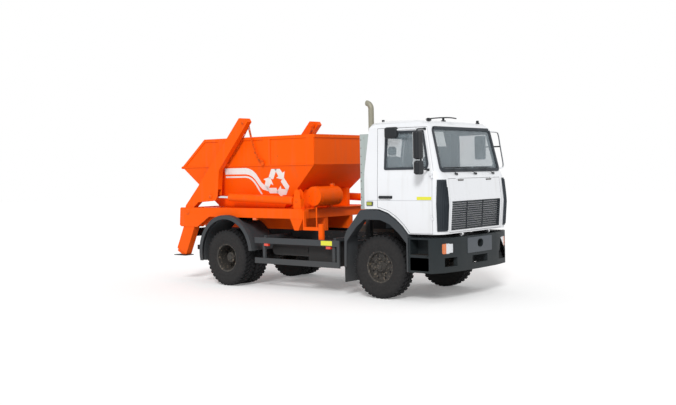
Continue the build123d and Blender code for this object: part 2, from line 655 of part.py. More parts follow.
fx = front_axle_x
arch_line = [(cab_rear_x - 20, arch_top_z), (fx + 65, arch_top_z), (fx + 250, 1490), (fx + 400, 1390),
             (fx + 530, 1275), (fx + 640, cab_bottom_z)]
floor_thickness = 50
bulkhead_x = fx + 1140
door_outline = [(door_rear_x, arch_top_z + 30), (door_rear_x, door_top_z), (fx + 945, door_top_z), (fx + 1100, waist_z + 15),
                (fx + 1100, cab_bottom_z + 15), (fx + 672, cab_bottom_z + 15), (fx + 557, 1302), (fx + 422, 1424),
                (fx + 264, 1526), (fx + 75, arch_top_z + 30)]
window_outline = [(fx + 200, 2245), (fx + 212, 2850), (fx + 880, 2850), (fx + 1000, 2300), (fx + 980, 2245)]
screen_outline = [(-950, 2192), (-920, 2930), (920, 2930), (950, 2192)]
rear_window_rows = [(150, 760)]
rear_window_low, rear_window_high = 2300, 2790


# A prism along X through the front or rear of the cab
def through_x(points, x0, x1, mode=Mode.ADD, grow=0):
    with BuildSketch(Plane.YZ.offset(x0)) as outline:
        with BuildLine():
            Polyline(*points, close=True)
        make_face()
        if grow:
            offset(amount=grow, kind=Kind.INTERSECTION)
    extrude(outline.sketch, amount=x1 - x0, mode=mode)


# The hollow cab before it is split into shell, doors and lid
with BuildPart() as cab_hollow:
    cab_form(0)
    plate_xz(arch_line + [(fx + 640, 1000), (cab_rear_x - 20, 1000)], -1300, 1300, mode=Mode.SUBTRACT)
    with BuildPart(mode=Mode.PRIVATE) as cabin_space:
        cab_form(cab_wall, round_corners=False)
        floor_line = [(x + 20, z + floor_thickness) for x, z in arch_line]
        plate_xz([(cab_rear_x - 40, arch_top_z + floor_thickness)] + floor_line
                 + [(fx + 1400, cab_bottom_z + floor_thickness), (fx + 1400, 900), (cab_rear_x - 40, 900)],
                 -1300, 1300, mode=Mode.SUBTRACT)
        box_between(bulkhead_x, fx + 1400, -1300, 1300, 1000, lid_top_z + part_gap, mode=Mode.SUBTRACT)
    add(cabin_space.part, mode=Mode.SUBTRACT)
    through_x(screen_outline, fx + 700, fx + 1400, mode=Mode.SUBTRACT)
    for s in (1, -1):
        for near, far in rear_window_rows:
            box_between(cab_rear_x - 50, fx + 40, s * near, s * far, rear_window_low, rear_window_high,
                        mode=Mode.SUBTRACT)
    plate_xz(window_outline, -1300, 1300, mode=Mode.SUBTRACT)

# Doors, cut from the hollow cab, each with two hinge knuckles
door_inner_y = 900
hinge_heights = [1400, 2090]
knuckle_radius = 9
knuckle_height = 40
door_pin_radius = 4
door_sweep = 114
lug_radius = 27
with BuildPart() as cab_core:
    cab_form(cab_wall, round_corners=False)
for side, s in sides:
    with BuildPart() as door:
        add(cab_hollow.part)
        plate_xz(door_outline, s * door_inner_y, s * 1300, mode=Mode.INTERSECT)
        add(cab_core.part, mode=Mode.SUBTRACT)
        for z in hinge_heights:
            knuckle_z = z + knuckle_height + seat_gap
            with Locations((door_hinge[0], s * door_hinge[1], knuckle_z)):
                Cylinder(knuckle_radius, knuckle_height)
            box_between(door_hinge[0] - 40, door_hinge[0], s * 1098, s * door_hinge[1],
                        knuckle_z - knuckle_height / 2, knuckle_z + knuckle_height / 2)
            with Locations((door_hinge[0], s * door_hinge[1], knuckle_z)):
                Cylinder(door_pin_radius + pin_gap, knuckle_height + 2, mode=Mode.SUBTRACT)
    door.part.label = f"door_{side}"
    export_step(door.part, f"parts/door_{side}.step")

# Front lid with the opening for its grille
lid_box = (fx + 1100, fx + 1400)
lid_axis = (fx + 1240, lid_top_z)
lid_hinge_y = (560, -560)
lid_knuckle = 30
grille_half_width = 795
grille_bottom, grille_top = 1195, 1680
with BuildPart() as lid_skin:
    cab_form(lid_thickness)
with BuildPart() as front_lid:
    cab_form(0)
    add(lid_skin.part, mode=Mode.SUBTRACT)
    with Locations((fx + 1250, 0, (lid_top_z + lid_bottom_z) / 2)):
        Box(300, 2 * lid_half_width, lid_top_z - lid_bottom_z, mode=Mode.INTERSECT)
    box_between(*lid_box, -grille_half_width, grille_half_width, grille_bottom, grille_top, mode=Mode.SUBTRACT)
    for y in lid_hinge_y:
        for end in (-1, 1):
            near, far = y + end * (lid_knuckle / 2), y + end * (1.5 * lid_knuckle + seat_gap)
            disc_xz(*lid_axis, knuckle_radius + pin_gap, near, far, mode=Mode.SUBTRACT)
        disc_xz(*lid_axis, knuckle_radius, y - lid_knuckle / 2, y + lid_knuckle / 2)
        disc_xz(*lid_axis, door_pin_radius + pin_gap, y - lid_knuckle, y + lid_knuckle, mode=Mode.SUBTRACT)
front_lid.part.label = "front_lid"
export_step(front_lid.part, "parts/front_lid.step")

# Grille: sloped slats between two end plates
slat_count = 13
slat_pitch = (grille_top - grille_bottom) / slat_count
grille_face_x = fx + 1250
with BuildPart() as grille:
    for row in range(slat_count):
        z = grille_bottom + slat_pitch * (row + 0.15)
        lean = (z - grille_bottom) / (nose_z - cab_bottom_z) * (cab_nose_x - cab_nose_low_x)
        face_x = grille_face_x + min(lean, 34)
        plate_xz([(face_x - 36, z), (face_x - 36, z + 0.22 * slat_pitch), (face_x, z + 0.65 * slat_pitch),
                  (face_x, z + 0.25 * slat_pitch)],
                 -grille_half_width + seat_gap, grille_half_width - seat_gap)
    for y, depth in ((-grille_half_width + seat_gap, 24), (-270, 8), (250, 8), (grille_half_width - 20 - seat_gap, 24)):
        plate_xz([(grille_face_x - 38, grille_bottom + seat_gap), (grille_face_x - 38 + depth, grille_bottom + seat_gap),
                  (grille_face_x - 6 + depth, grille_top - seat_gap), (grille_face_x - 6, grille_top - seat_gap)],
                 y, y + 20)
grille.part.label = "grille"
export_step(grille.part, "parts/grille.step")

# Cab shell: what is left of the hollow cab round the doors and the lid, with its gutter
with BuildPart() as cab_shell:
    add(cab_hollow.part)
    with BuildPart(mode=Mode.PRIVATE) as door_space:
        for side, s in sides:
            plate_xz(door_outline, s * door_inner_y, s * 1300, grow=part_gap)
        cab_form(cab_wall + part_gap, mode=Mode.SUBTRACT, round_corners=False)
    add(door_space.part, mode=Mode.SUBTRACT)
    for side, s in sides:
        box_between(door_hinge[0] - door_sweep, door_hinge[0] + part_gap, s * (door_hinge[1] - door_sweep), s * 1300,
                    cab_bottom_z + 9, cab_bottom_z + floor_thickness + 12, mode=Mode.SUBTRACT)
    with BuildPart(mode=Mode.PRIVATE) as lid_space:
        with Locations((fx + 1250, 0, (lid_top_z + lid_bottom_z) / 2)):
            Box(300, 2 * lid_half_width + 2 * part_gap, lid_top_z - lid_bottom_z + 2 * part_gap)
        cab_form(lid_thickness + part_gap, mode=Mode.SUBTRACT)
    add(lid_space.part, mode=Mode.SUBTRACT)
    for side, s in sides:
        lug_y0, lug_y1 = s * (rail_outer_y - 4), s * (rail_outer_y + 30)
        plate_xz([(cab_hinge[0] - 27, cab_bottom_z + 2), (cab_hinge[0] + 15, cab_bottom_z + 2),
                  (cab_hinge[0] + 25, cab_hinge[1]), (cab_hinge[0] - 27, cab_hinge[1])], lug_y0, lug_y1)
        disc_xz(*cab_hinge, lug_radius, lug_y0, lug_y1)
        disc_xz(*cab_hinge, hinge_pin_radius + pin_gap, lug_y0 - s, lug_y1 + s, mode=Mode.SUBTRACT)
        lid_y = s * abs(lid_hinge_y[0])
        disc_xz(*lid_axis, knuckle_radius + pin_gap, lid_y - lid_knuckle / 2 - seat_gap,
                lid_y + lid_knuckle / 2 + seat_gap, mode=Mode.SUBTRACT)
        for end in (-1, 1):
            near, far = lid_y + end * (lid_knuckle / 2 + seat_gap), lid_y + end * 1.5 * lid_knuckle
            disc_xz(*lid_axis, knuckle_radius, near, far)
        disc_xz(*lid_axis, door_pin_radius, lid_y - lid_knuckle, lid_y + lid_knuckle)
        for z in hinge_heights:
            with Locations((door_hinge[0], s * door_hinge[1], z)):
                Cylinder(knuckle_radius, knuckle_height)
            with Locations((door_hinge[0], s * door_hinge[1], z + knuckle_height)):
                Cylinder(door_pin_radius, knuckle_height)
            box_between(door_hinge[0], door_hinge[0] + 26, s * 1098, s * door_hinge[1],
                        z - knuckle_height / 2, z + knuckle_height / 2)
cab_shell.part.label = "cab_shell"
export_step(cab_shell.part, "parts/cab_shell.step")

# Glass lies between two depths below the skin
with BuildPart() as glass_layer:
    cab_form(14)
with BuildPart() as glass_back:
    cab_form(22)
with BuildPart(mode=Mode.PRIVATE) as glass_holes:
    through_x(screen_outline, fx + 700, fx + 1400, grow=-seat_gap)
    for s in (1, -1):
        for near, far in rear_window_rows:
            box_between(cab_rear_x - 50, fx + 40, s * (near + seat_gap), s * (far - seat_gap),
                        rear_window_low + seat_gap, rear_window_high - seat_gap)
with BuildPart() as cab_glass:
    add(glass_layer.part)
    add(glass_back.part, mode=Mode.SUBTRACT)
    add(glass_holes.part, mode=Mode.INTERSECT)
cab_glass.part.label = "cab_glass"
export_step(cab_glass.part, "parts/cab_glass.step")
for side, s in sides:
    with BuildPart() as door_glass:
        add(glass_layer.part)
        add(glass_back.part, mode=Mode.SUBTRACT)
        plate_xz(window_outline, s * door_inner_y, s * 1300, mode=Mode.INTERSECT, grow=-seat_gap)
    door_glass.part.label = f"door_glass_{side}"
    export_step(door_glass.part, f"parts/door_glass_{side}.step")

# Side intake panels that wrap the cab's front corners
intake_low, intake_high = 1190, 2045
intake_rear_x = fx + 1180
with BuildPart() as intake_panels:
    cab_form(-14)
    cab_form(-seat_gap, mode=Mode.SUBTRACT)
    with BuildPart(mode=Mode.PRIVATE) as intake_boxes:
        for side, s in sides:
            box_between(intake_rear_x, fx + 1400, s * 920, s * 1200, intake_low, intake_high)
    add(intake_boxes.part, mode=Mode.INTERSECT)
intake_panels.part.label = "intake_panels"
export_step(intake_panels.part, "parts/intake_panels.step")

# Bumper: a hollow bar bent back at its ends, with recesses for lamps, a tow hole and a lower slot
bumper_depth = 70
bumper_half = 1222
bumper_plan = [(fx + 1085, bumper_half), (fx + 1125, bumper_half), (fx + 1250, 1010), (nose_x - 10, 560),
               (nose_x, 0)]
bumper_outline = bumper_plan + [(x, -y) for x, y in reversed(bumper_plan[:-1])]
inner_outline = ([(fx + 1084, bumper_half - 50), (fx + 1100, bumper_half - 50), (fx + 1180, 960),
                  (nose_x - 10 - bumper_depth, 540)])
inner_outline = inner_outline + [(x, -y) for x, y in reversed(inner_outline)]
lamp_y0, lamp_y1 = 770, 1045
tow_y = 10
tow_bore_low = 820
tow_bore_radius = 12.5
lamp_z0, lamp_z1 = 815, 990
with BuildPart() as bumper:
    plate_xy(bumper_outline, bumper_bottom, bumper_top)
    plate_xy(inner_outline, bumper_bottom - 1, bumper_top + 1, mode=Mode.SUBTRACT)
    plate_xz([(fx + 1180, bumper_top - 1), (fx + 1180, bumper_top + 20), (fx + 1500, bumper_top + 20),
              (fx + 1500, bumper_top - 30)], -1300, 1300, mode=Mode.SUBTRACT)
    for side, s in sides:
        box_between(fx + 1000, fx + 1400, s * lamp_y0, s * lamp_y1, lamp_z0, lamp_z1, mode=Mode.SUBTRACT)
        box_between(fx + 1000, fx + 1400, s * 690, s * 1000, 600, 750, mode=Mode.SUBTRACT)
        box_between(rail_front + seat_gap, nose_x - bumper_depth, s * rail_half_gap, s * rail_outer_y,
                    rail_bottom, rail_top - 40)
    box_between(fx + 1000, fx + 1400, -250, 250, 610, 740, mode=Mode.SUBTRACT)
    box_between(nose_x - 110, nose_x + 50, tow_y - 80, tow_y + 80, 880, 1000, mode=Mode.SUBTRACT)
    with Locations((nose_x - 26, tow_y, tow_bore_low + 200)):
        Cylinder(tow_bore_radius, 400, mode=Mode.SUBTRACT)
bumper.part.label = "bumper"
export_step(bumper.part, "parts/bumper.step")

# Steps between each front mudguard and the bumper
with BuildPart() as steps:
    for side, s in sides:
        box_between(fx + 665 + seat_gap, fx + 1077, s * 900, s * 1200, bumper_bottom, bumper_top)
        for z0, z1 in ((bumper_bottom + 40, 750), (800, bumper_top - 30)):
            box_between(fx + 700, fx + 1060, s * 960, s * 1201, z0, z1, mode=Mode.SUBTRACT)
        box_between(fx + 760, fx + 900, s * (rail_outer_y + seat_gap), s * 900, 900, 960)
steps.part.label = "steps"
export_step(steps.part, "parts/steps.step")

# Mudguards: a skin over each wheel with a lip on its outer side
front_guard_outer = [(-701, 523), (-688, 1060), (-640, 1165), (-497, 1330), (-323, 1535), (60, 1535), (250, 1470),
                     (396, 1372), (522, 1262), (632, 1125), (665, 1084), (665, 509)]
front_guard_inner = [(640, 509), (640, 990), (500, 1140), (300, 1300), (100, 1370), (-250, 1372), (-420, 1240),
                     (-560, 1080), (-640, 980), (-655, 523)]
front_guard_skin = [(651, 509), (651, 1076), (620, 1114), (511, 1250), (388, 1358), (246, 1455), (58, 1519),
                    (-315, 1519), (-485, 1318), (-627, 1153), (-674, 1055), (-687, 523)]
arch_centre = (rear_axle_x, 650)
arch_radius = 740
inner_arch_radius = 684
arch_rear_low, arch_front_low = 469, 715
arch_rows = [  # smaller radius, larger radius, inner y, outer y
    (inner_arch_radius - 12, inner_arch_radius, 560, 1152),
    (inner_arch_radius - 12, arch_radius, 1142, 1154),
    (arch_radius - 12, arch_radius, 1142, 1248),
    (arch_radius - 80, arch_radius, 1238, 1248),
]
with BuildPart() as mudguards:
    for side, s in sides:
        plate_xz([(fx + x, z) for x, z in front_guard_outer + front_guard_skin], s * 860, s * 1218)
        plate_xz([(fx + x, z) for x, z in front_guard_outer + front_guard_inner], s * 1200, s * 1222)
        box_between(fx - 694, fx - 686, s * 850, s * 1215, 257, 540)
        box_between(fx - 750, fx - 690, s * (rail_outer_y + seat_gap), s * 900, 900, 960)
        for radius0, radius1, y0, y1 in arch_rows:
            with BuildSketch(Plane.XZ.offset(-max(s * y0, s * y1))) as band:
                with Locations(arch_centre):
                    Circle(radius1)
                    Circle(radius0, mode=Mode.SUBTRACT)
                with Locations((rear_axle_x, arch_rear_low - 500)):
                    Rectangle(2000, 1000, mode=Mode.SUBTRACT)
                with Locations((rear_axle_x + 500, arch_front_low - 500)):
                    Rectangle(1000, 1000, mode=Mode.SUBTRACT)
            extrude(band.sketch, amount=y1 - y0)
        box_between(rear_axle_x - 40, rear_axle_x + 40, s * (rail_outer_y + seat_gap), s * 640, 1270, 1323)
        box_between(rear_axle_x + 590, rear_axle_x + 640, s * (rail_outer_y + seat_gap), s * 600, 900, 940)
mudguards.part.label = "mudguards"
export_step(mudguards.part, "parts/mudguards.step")

# Side guards between the wheels: two rails on posts that hang from the frame
guard_rear_x, guard_front_x = fx - 2925, fx - 830
guard_y0, guard_y1 = 1170, 1200
with BuildPart() as side_guards:
    for side, s in sides:
        for z0, z1 in ((870, 980), (487, 591)):
            box_between(guard_rear_x, guard_front_x, s * guard_y0, s * guard_y1, z0, z1)
        box_between(guard_front_x - 60, guard_front_x, s * (guard_y0 + 1), s * (guard_y1 - 1), 487, 980)
        for post_x in (fx - 2707, fx - 985):
            box_between(post_x - 30, post_x + 30, s * 1130, s * (guard_y0 + 1), 487, 980)
            box_between(post_x - 30, post_x + 30, s * (rail_outer_y + seat_gap), s * 1131, 955, 1015)
side_guards.part.label = "side_guards"
export_step(side_guards.part, "parts/side_guards.step")

# Fuel tank on the left rail
tank_corner = 60
with BuildPart() as fuel_tank:
    box_between(fx - 2600, fx - 1250, rail_outer_y + seat_gap, 1040, 430, 945)
    fillet(fuel_tank.edges().filter_by(Axis.X).group_by(Axis.Y)[-1], radius=tank_corner)
    with Locations((fx - 1420, 900, 945)):
        Cylinder(45, 50)
fuel_tank.part.label = "fuel_tank"
export_step(fuel_tank.part, "parts/fuel_tank.step")

# Battery box and two air tanks on the right rail
with BuildPart() as battery_box:
    box_between(fx - 1700, fx - 1060, -rail_outer_y - seat_gap, -1030, 480, 945)
    for air_y in (-620, -900):
        with Locations(Location((fx - 2170, air_y, 760), (0, 90, 0))):
            Cylinder(125, 900)
    for band_x in (fx - 2500, fx - 1850):
        box_between(band_x - 25, band_x + 25, -rail_outer_y - seat_gap, -960, 900, 945)
        for air_y in (-620, -900):
            box_between(band_x - 25, band_x + 25, air_y - 40, air_y + 40, 860, 901)
battery_box.part.label = "battery_box"
export_step(battery_box.part, "parts/battery_box.step")

# Exhaust stack behind the cab on the right, in its shield, with a bent tip
pipe_x, pipe_y, pipe_radius = fx - 410, -750, 50
shield_low, shield_high = 1530, 2860
bend_radius = 110
pipe_top = 3310
pipe_bend = 82
with BuildPart() as exhaust_stack:
    box_between(fx - 560, fx - 340, -900, -600, shield_low, shield_high)
    box_between(fx - 560, fx - 470, -900, -rail_outer_y - seat_gap, 1000, 1060)
    box_between(fx - 540, fx - 440, -800, -700, 1050, shield_low + 1)
    with Locations((pipe_x, pipe_y, (shield_high + pipe_top) / 2)):
        Cylinder(pipe_radius, pipe_top - shield_high + 2)
    with BuildSketch(Plane.XY.offset(pipe_top)) as pipe_end:
        with Locations((pipe_x, pipe_y)):
            Circle(pipe_radius)
    revolve(pipe_end.sketch, axis=Axis((pipe_x - bend_radius, pipe_y, pipe_top), (0, -1, 0)), revolution_arc=pipe_bend)
exhaust_stack.part.label = "exhaust_stack"
export_step(exhaust_stack.part, "parts/exhaust_stack.step")

# Hydraulic oil tank across the deck's front end, on two feet
oil_radius = 180
oil_tank_x, oil_tank_z = fx - 1710, 1756
with BuildPart() as oil_tank:
    disc_xz(oil_tank_x, oil_tank_z, oil_radius, -850, -200)
    with Locations((oil_tank_x + 20, -330, oil_tank_z + oil_radius)):
        Cylinder(45, 60)
    for foot_y in (-760, -290):
        box_between(oil_tank_x - 130, deck_front - 2, foot_y - 30, foot_y + 30, deck_top + seat_gap, 1640)
oil_tank.part.label = "oil_tank"
export_step(oil_tank.part, "parts/oil_tank.step")

# Stops that the skip's sloped front rests against, and brackets below the deck's front end
stop_gap = 9.6
stop_slope = (skip_front_x - 15 - skip_floor_front_x) / (skip_mid_z - skip_floor_z)
with BuildPart() as deck_stops:
    for side, s in sides:
        low_x = skip_floor_front_x + stop_gap
        high_z = 1880
        high_x = low_x + stop_slope * (high_z - skip_floor_z)
        low_z = deck_top + seat_gap
        plate_xz([(low_x, low_z), (high_x, high_z), (high_x + 130, high_z), (high_x + 130, low_z)], s * 500, s * 600)
        plate_xz([(deck_front - 330, beam_bottom - seat_gap), (deck_front - 10, beam_bottom - seat_gap),
                  (deck_front - 120, 1130), (deck_front - 220, 1130)], s * 975, s * 1125)
deck_stops.part.label = "deck_stops"
export_step(deck_stops.part, "parts/deck_stops.step")

# Control stand ahead of the right side beam: a bracket, a valve tube and a lever
with BuildPart() as control_stand:
    box_between(deck_front + seat_gap, deck_front + 30, -1130, -1070, 1140, 1500)
    box_between(deck_front + seat_gap, fx - 1270, -1130, -1070, 1140, 1200)
    with Locations((fx - 1320, -1100, 1090)):
        Cylinder(57, 340)
    with Locations((fx - 1430, -1100, 1380)):
        Cylinder(12, 368)
control_stand.part.label = "control_stand"
export_step(control_stand.part, "parts/control_stand.step")

# Rear underrun bar on two hangers and the lamp beam on the frame's rear end
with BuildPart() as rear_underrun:
    box_between(rear_axle_x - 1130, rear_axle_x - 1050, -950, 950, 652, 745)
    for side, s in sides:
        box_between(rear_axle_x - 1130, rear_axle_x - 1050, s * 350, s * 410, 744, rail_bottom - seat_gap)
    box_between(rail_rear - 60, rail_rear - seat_gap, -950, 950, 905, 1074)
rear_underrun.part.label = "rear_underrun"
export_step(rear_underrun.part, "parts/rear_underrun.step")

# Lamps: head and direction lamps in the bumper, tail lamps on the rear beam
with BuildPart() as lamps:
    for side, s in sides:
        y0, y1, z0, z1 = lamp_y0 + seat_gap, lamp_y1 - seat_gap, lamp_z0 + seat_gap, lamp_z1 - seat_gap
        plate_xy([(fx + 1195, s * y0), (fx + 1277, s * y0), (fx + 1240, s * 1006), (fx + 1215, s * y1),
                  (fx + 1150, s * y1), (fx + 1170, s * 960)], z0, z1)
        box_between(rail_rear - 105, rail_rear - 60 - seat_gap, s * 560, s * 940, 915, 1064)
lamps.part.label = "lamps"
export_step(lamps.part, "parts/lamps.step")

# Seats on the raised cab floor
seat_floor_z = arch_top_z + floor_thickness + seat_gap
with BuildPart() as seats:
    for side, s in sides:
        y0, y1 = s * 350, s * 850
        box_between(fx - 100, fx + 60, y0 + s * 60, y1 - s * 60, seat_floor_z, 1800)
        plate_xz([(fx - 90, 1790), (fx + 400, 1790), (fx + 430, 1850), (fx + 400, 1900), (fx - 90, 1880)], y0, y1)
        plate_xz([(fx - 100, 1860), (fx + 50, 1870), (fx - 10, 2470), (fx - 115, 2480)], y0 + s * 15, y1 - s * 15)
        box_between(fx - 108, fx - 30, y0 + s * 130, y1 - s * 130, 2460, 2640)
seats.part.label = "seats"
export_step(seats.part, "parts/seats.step")

# Dashboard with the steering column and wheel on the left
wheel_centre = (fx + 720, 600, 2120)
wheel_tilt = 30
wheel_rim_radius = 220
dashboard_half = 940
wheel_rim_depth = 26
with BuildPart() as dashboard:
    plate_xz([(bulkhead_x - seat_gap, 1960), (bulkhead_x - seat_gap, 2120), (fx + 1112, 2195), (fx + 980, 2195),
              (fx + 900, 2130), (fx + 900, 1960)], -dashboard_half, dashboard_half)
    with Locations(Location(wheel_centre, (0, -wheel_tilt, 0))):
        Cylinder(wheel_rim_radius, wheel_rim_depth)
        Cylinder(wheel_rim_radius - wheel_rim_depth, wheel_rim_depth, mode=Mode.SUBTRACT)
        Cylinder(45, 40)
        Box(2 * wheel_rim_radius - wheel_rim_depth, 30, 16)
    bar_xz((wheel_centre[0], wheel_centre[2]), (fx + 920, 1970), wheel_centre[1], 35)
dashboard.part.label = "dashboard"
export_step(dashboard.part, "parts/dashboard.step")

# Mirrors on tube frames that the doors carry, the right one with a kerb mirror
mirror_y0, mirror_y1 = 1230, 1430
for side, s in sides:
    with BuildPart() as mirrors:
        frame_y = mirror_y1 if side == "left" else 1300
        box_between(fx + 1012, fx + 1042, s * 1050, s * frame_y, 2235, 2265)
        box_between(fx + 898, fx + 926, s * 980, s * frame_y, 2876, 2902)
        bar_xz((fx + 1027, 2250), (fx + 912, 2889), s * (frame_y - 20), 14)
        if side == "left":
            box_between(fx + 430, fx + 660, frame_y - 90, frame_y - 10, 2380, 2840)
            box_between(fx + 640, fx + 985, frame_y - 30, frame_y - 6, 2600, 2640)
        else:
            box_between(fx + 930, fx + 1040, s * mirror_y0, s * mirror_y1, 2370, 2860)
            box_between(fx + 940, fx + 1040, s * mirror_y0, s * mirror_y1, 2130, 2363)
            box_between(fx + 500, fx + 912, s * 1268, s * 1292, 2877, 2901)
            box_between(fx + 280, fx + 545, s * 1230, s * 1330, 2742, 2944)
        cab_form(-seat_gap, mode=Mode.SUBTRACT)
    mirrors.part.label = f"mirrors_{side}"
    export_step(mirrors.part, f"parts/mirrors_{side}.step")
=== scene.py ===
import bpy
import bmesh
import math
import random
from mathutils import Matrix, Vector
from mathutils.bvhtree import BVHTree


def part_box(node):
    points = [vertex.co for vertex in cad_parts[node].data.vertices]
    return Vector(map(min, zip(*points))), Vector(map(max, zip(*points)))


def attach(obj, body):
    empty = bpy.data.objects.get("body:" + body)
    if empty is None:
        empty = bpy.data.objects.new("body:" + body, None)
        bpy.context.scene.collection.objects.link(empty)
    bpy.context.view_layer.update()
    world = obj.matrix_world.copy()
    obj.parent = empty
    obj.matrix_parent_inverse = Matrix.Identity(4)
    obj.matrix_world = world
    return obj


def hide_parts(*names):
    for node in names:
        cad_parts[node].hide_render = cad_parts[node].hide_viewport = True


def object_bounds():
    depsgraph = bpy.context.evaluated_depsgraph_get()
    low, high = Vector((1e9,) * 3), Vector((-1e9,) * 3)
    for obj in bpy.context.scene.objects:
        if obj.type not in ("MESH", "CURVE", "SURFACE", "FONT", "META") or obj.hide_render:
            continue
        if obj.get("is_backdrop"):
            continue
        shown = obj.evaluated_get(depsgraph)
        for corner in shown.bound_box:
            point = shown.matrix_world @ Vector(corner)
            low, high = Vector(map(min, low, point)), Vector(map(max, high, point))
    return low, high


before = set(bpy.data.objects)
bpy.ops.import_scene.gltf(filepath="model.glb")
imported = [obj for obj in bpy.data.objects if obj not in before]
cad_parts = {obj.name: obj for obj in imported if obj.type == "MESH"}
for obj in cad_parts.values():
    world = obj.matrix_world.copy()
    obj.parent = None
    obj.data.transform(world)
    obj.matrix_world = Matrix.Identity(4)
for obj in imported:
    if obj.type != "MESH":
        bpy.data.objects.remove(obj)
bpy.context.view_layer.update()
random.seed(11)
print("frame loaded,", len(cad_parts), "nodes")


def middle(node):
    low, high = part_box(node)
    return (low + high) / 2


frontAxle = middle("front_rim_left").x
rearAxle = middle("rear_rims_left").x
wheelZ = middle("front_rim_left").z
sides = (("left", 1), ("right", -1))

# Camera, solved from the photograph's frame of 676 by 405 pixels
cameraSet = {
    "place": (11.50, -13.775, 2.221),
    "yaw": 39.42,
    "pitch": 0.93,
    "roll": -1.04,
    "focalPixels": 919.75,
    "imageWidth": 676,
    "imageHeight": 405,
    "axisRow": 185.76,
    "sensor": 36.0,
}


def makeCamera(s):
    yaw, pitch, roll = (math.radians(s[key]) for key in ("yaw", "pitch", "roll"))
    ahead = Vector((-math.sin(yaw) * math.cos(pitch), math.cos(yaw) * math.cos(pitch), -math.sin(pitch)))
    right = Vector((math.cos(yaw), math.sin(yaw), 0))
    up = right.cross(ahead)
    tiltedRight = right * math.cos(roll) + up * math.sin(roll)
    tiltedUp = up * math.cos(roll) - right * math.sin(roll)
    data = bpy.data.cameras.new("camera")
    data.sensor_width = s["sensor"]
    data.lens = s["focalPixels"] * s["sensor"] / s["imageWidth"]
    data.shift_y = (s["axisRow"] - s["imageHeight"] / 2) / s["imageWidth"]
    data.clip_end = 200
    camera = bpy.data.objects.new("camera", data)
    bpy.context.scene.collection.objects.link(camera)
    turn = Matrix((tiltedRight, tiltedUp, -ahead)).transposed().to_4x4()
    camera.matrix_world = Matrix.Translation(s["place"]) @ turn
    bpy.context.scene.camera = camera


makeCamera(cameraSet)
bpy.context.scene.view_settings.view_transform = "Standard"
print("camera set")


# A shader value: arithmetic on it adds Math nodes
class Wire:
    def __init__(self, shade, socket):
        self.shade, self.socket = shade, socket

    def math(self, operation, a, b=0.0):
        return self.shade.node("ShaderNodeMath", {"operation": operation}, {0: a, 1: b})

    def __add__(self, other):
        return self.math("ADD", self, other)

    def __radd__(self, other):
        return self.math("ADD", other, self)

    def __sub__(self, other):
        return self.math("SUBTRACT", self, other)

    def __rsub__(self, other):
        return self.math("SUBTRACT", other, self)

    def __mul__(self, other):
        return self.math("MULTIPLY", self, other)

    def __rmul__(self, other):
        return self.math("MULTIPLY", other, self)

    def __truediv__(self, other):
        return self.math("DIVIDE", self, other)

    def __pow__(self, other):
        return self.math("POWER", self, other)

    def __gt__(self, other):
        return self.math("GREATER_THAN", self, other)

    def __lt__(self, other):
        return self.math("LESS_THAN", self, other)

    def __abs__(self):
        return self.math("ABSOLUTE", self)

    def clipped(self):
        return self.shade.node("ShaderNodeClamp", {}, {0: self})

    def wave(self):
        return self.math("SINE", self)


class Shade:
    def __init__(self, name):
        self.material = bpy.data.materials.new(name)
        self.material.use_nodes = True
        self.tree = self.material.node_tree
        self.tree.nodes.clear()

    def node(self, kind, settings=None, inputs=None, out=0):
        made = self.tree.nodes.new(kind)
        for key, value in (settings or {}).items():
            setattr(made, key, value)
        for key, value in (inputs or {}).items():
            if isinstance(value, Wire):
                self.tree.links.new(value.socket, made.inputs[key])
            else:
                made.inputs[key].default_value = value
        return Wire(self, made.outputs[out]) if made.outputs else None

    def place(self):
        return self.node("ShaderNodeTexCoord", out="Object")

    def axes(self):
        split = self.node("ShaderNodeSeparateXYZ", {}, {0: self.place()})
        return [Wire(self, split.socket.node.outputs[i]) for i in range(3)]

    def noise(self, scale, detail=4.0, stretch=(1, 1, 1)):
        spot = self.node("ShaderNodeMapping", {}, {"Vector": self.place(), "Scale": stretch})
        return self.node("ShaderNodeTexNoise", {}, {"Vector": spot, "Scale": scale, "Detail": detail})

    def mix(self, share, a, b):
        ends = [colour if isinstance(colour, Wire) else (*colour, 1) for colour in (a, b)]
        return self.node("ShaderNodeMix", {"data_type": "RGBA"}, {0: share, 6: ends[0], 7: ends[1]}, out=2)

    def bump(self, height, distance, strength=1.0):
        return self.node("ShaderNodeBump", {}, {"Height": height, "Distance": distance, "Strength": strength})

    def surface(self, inputs):
        face = self.node("ShaderNodeBsdfPrincipled", {}, inputs)
        self.node("ShaderNodeOutputMaterial", {}, {0: face})
        return self.material


# Paint, plastic and metal share one recipe: a base tone that drifts, chips, and dust that thickens downwards
plainFinish = {
    "vary": 0.5, "patch": 1.3, "speck": 60.0, "dust": 0.25, "dustTop": 1.6, "dustTone": (0.20, 0.17, 0.14),
    "rough": 0.45, "roughVary": 0.2, "metal": 0.0, "coat": 0.0, "grain": 0.0003, "chip": 0.0,
    "chipTone": (0.1, 0.06, 0.04), "runs": 0.0, "sheen": 0.3, "bands": (),
}


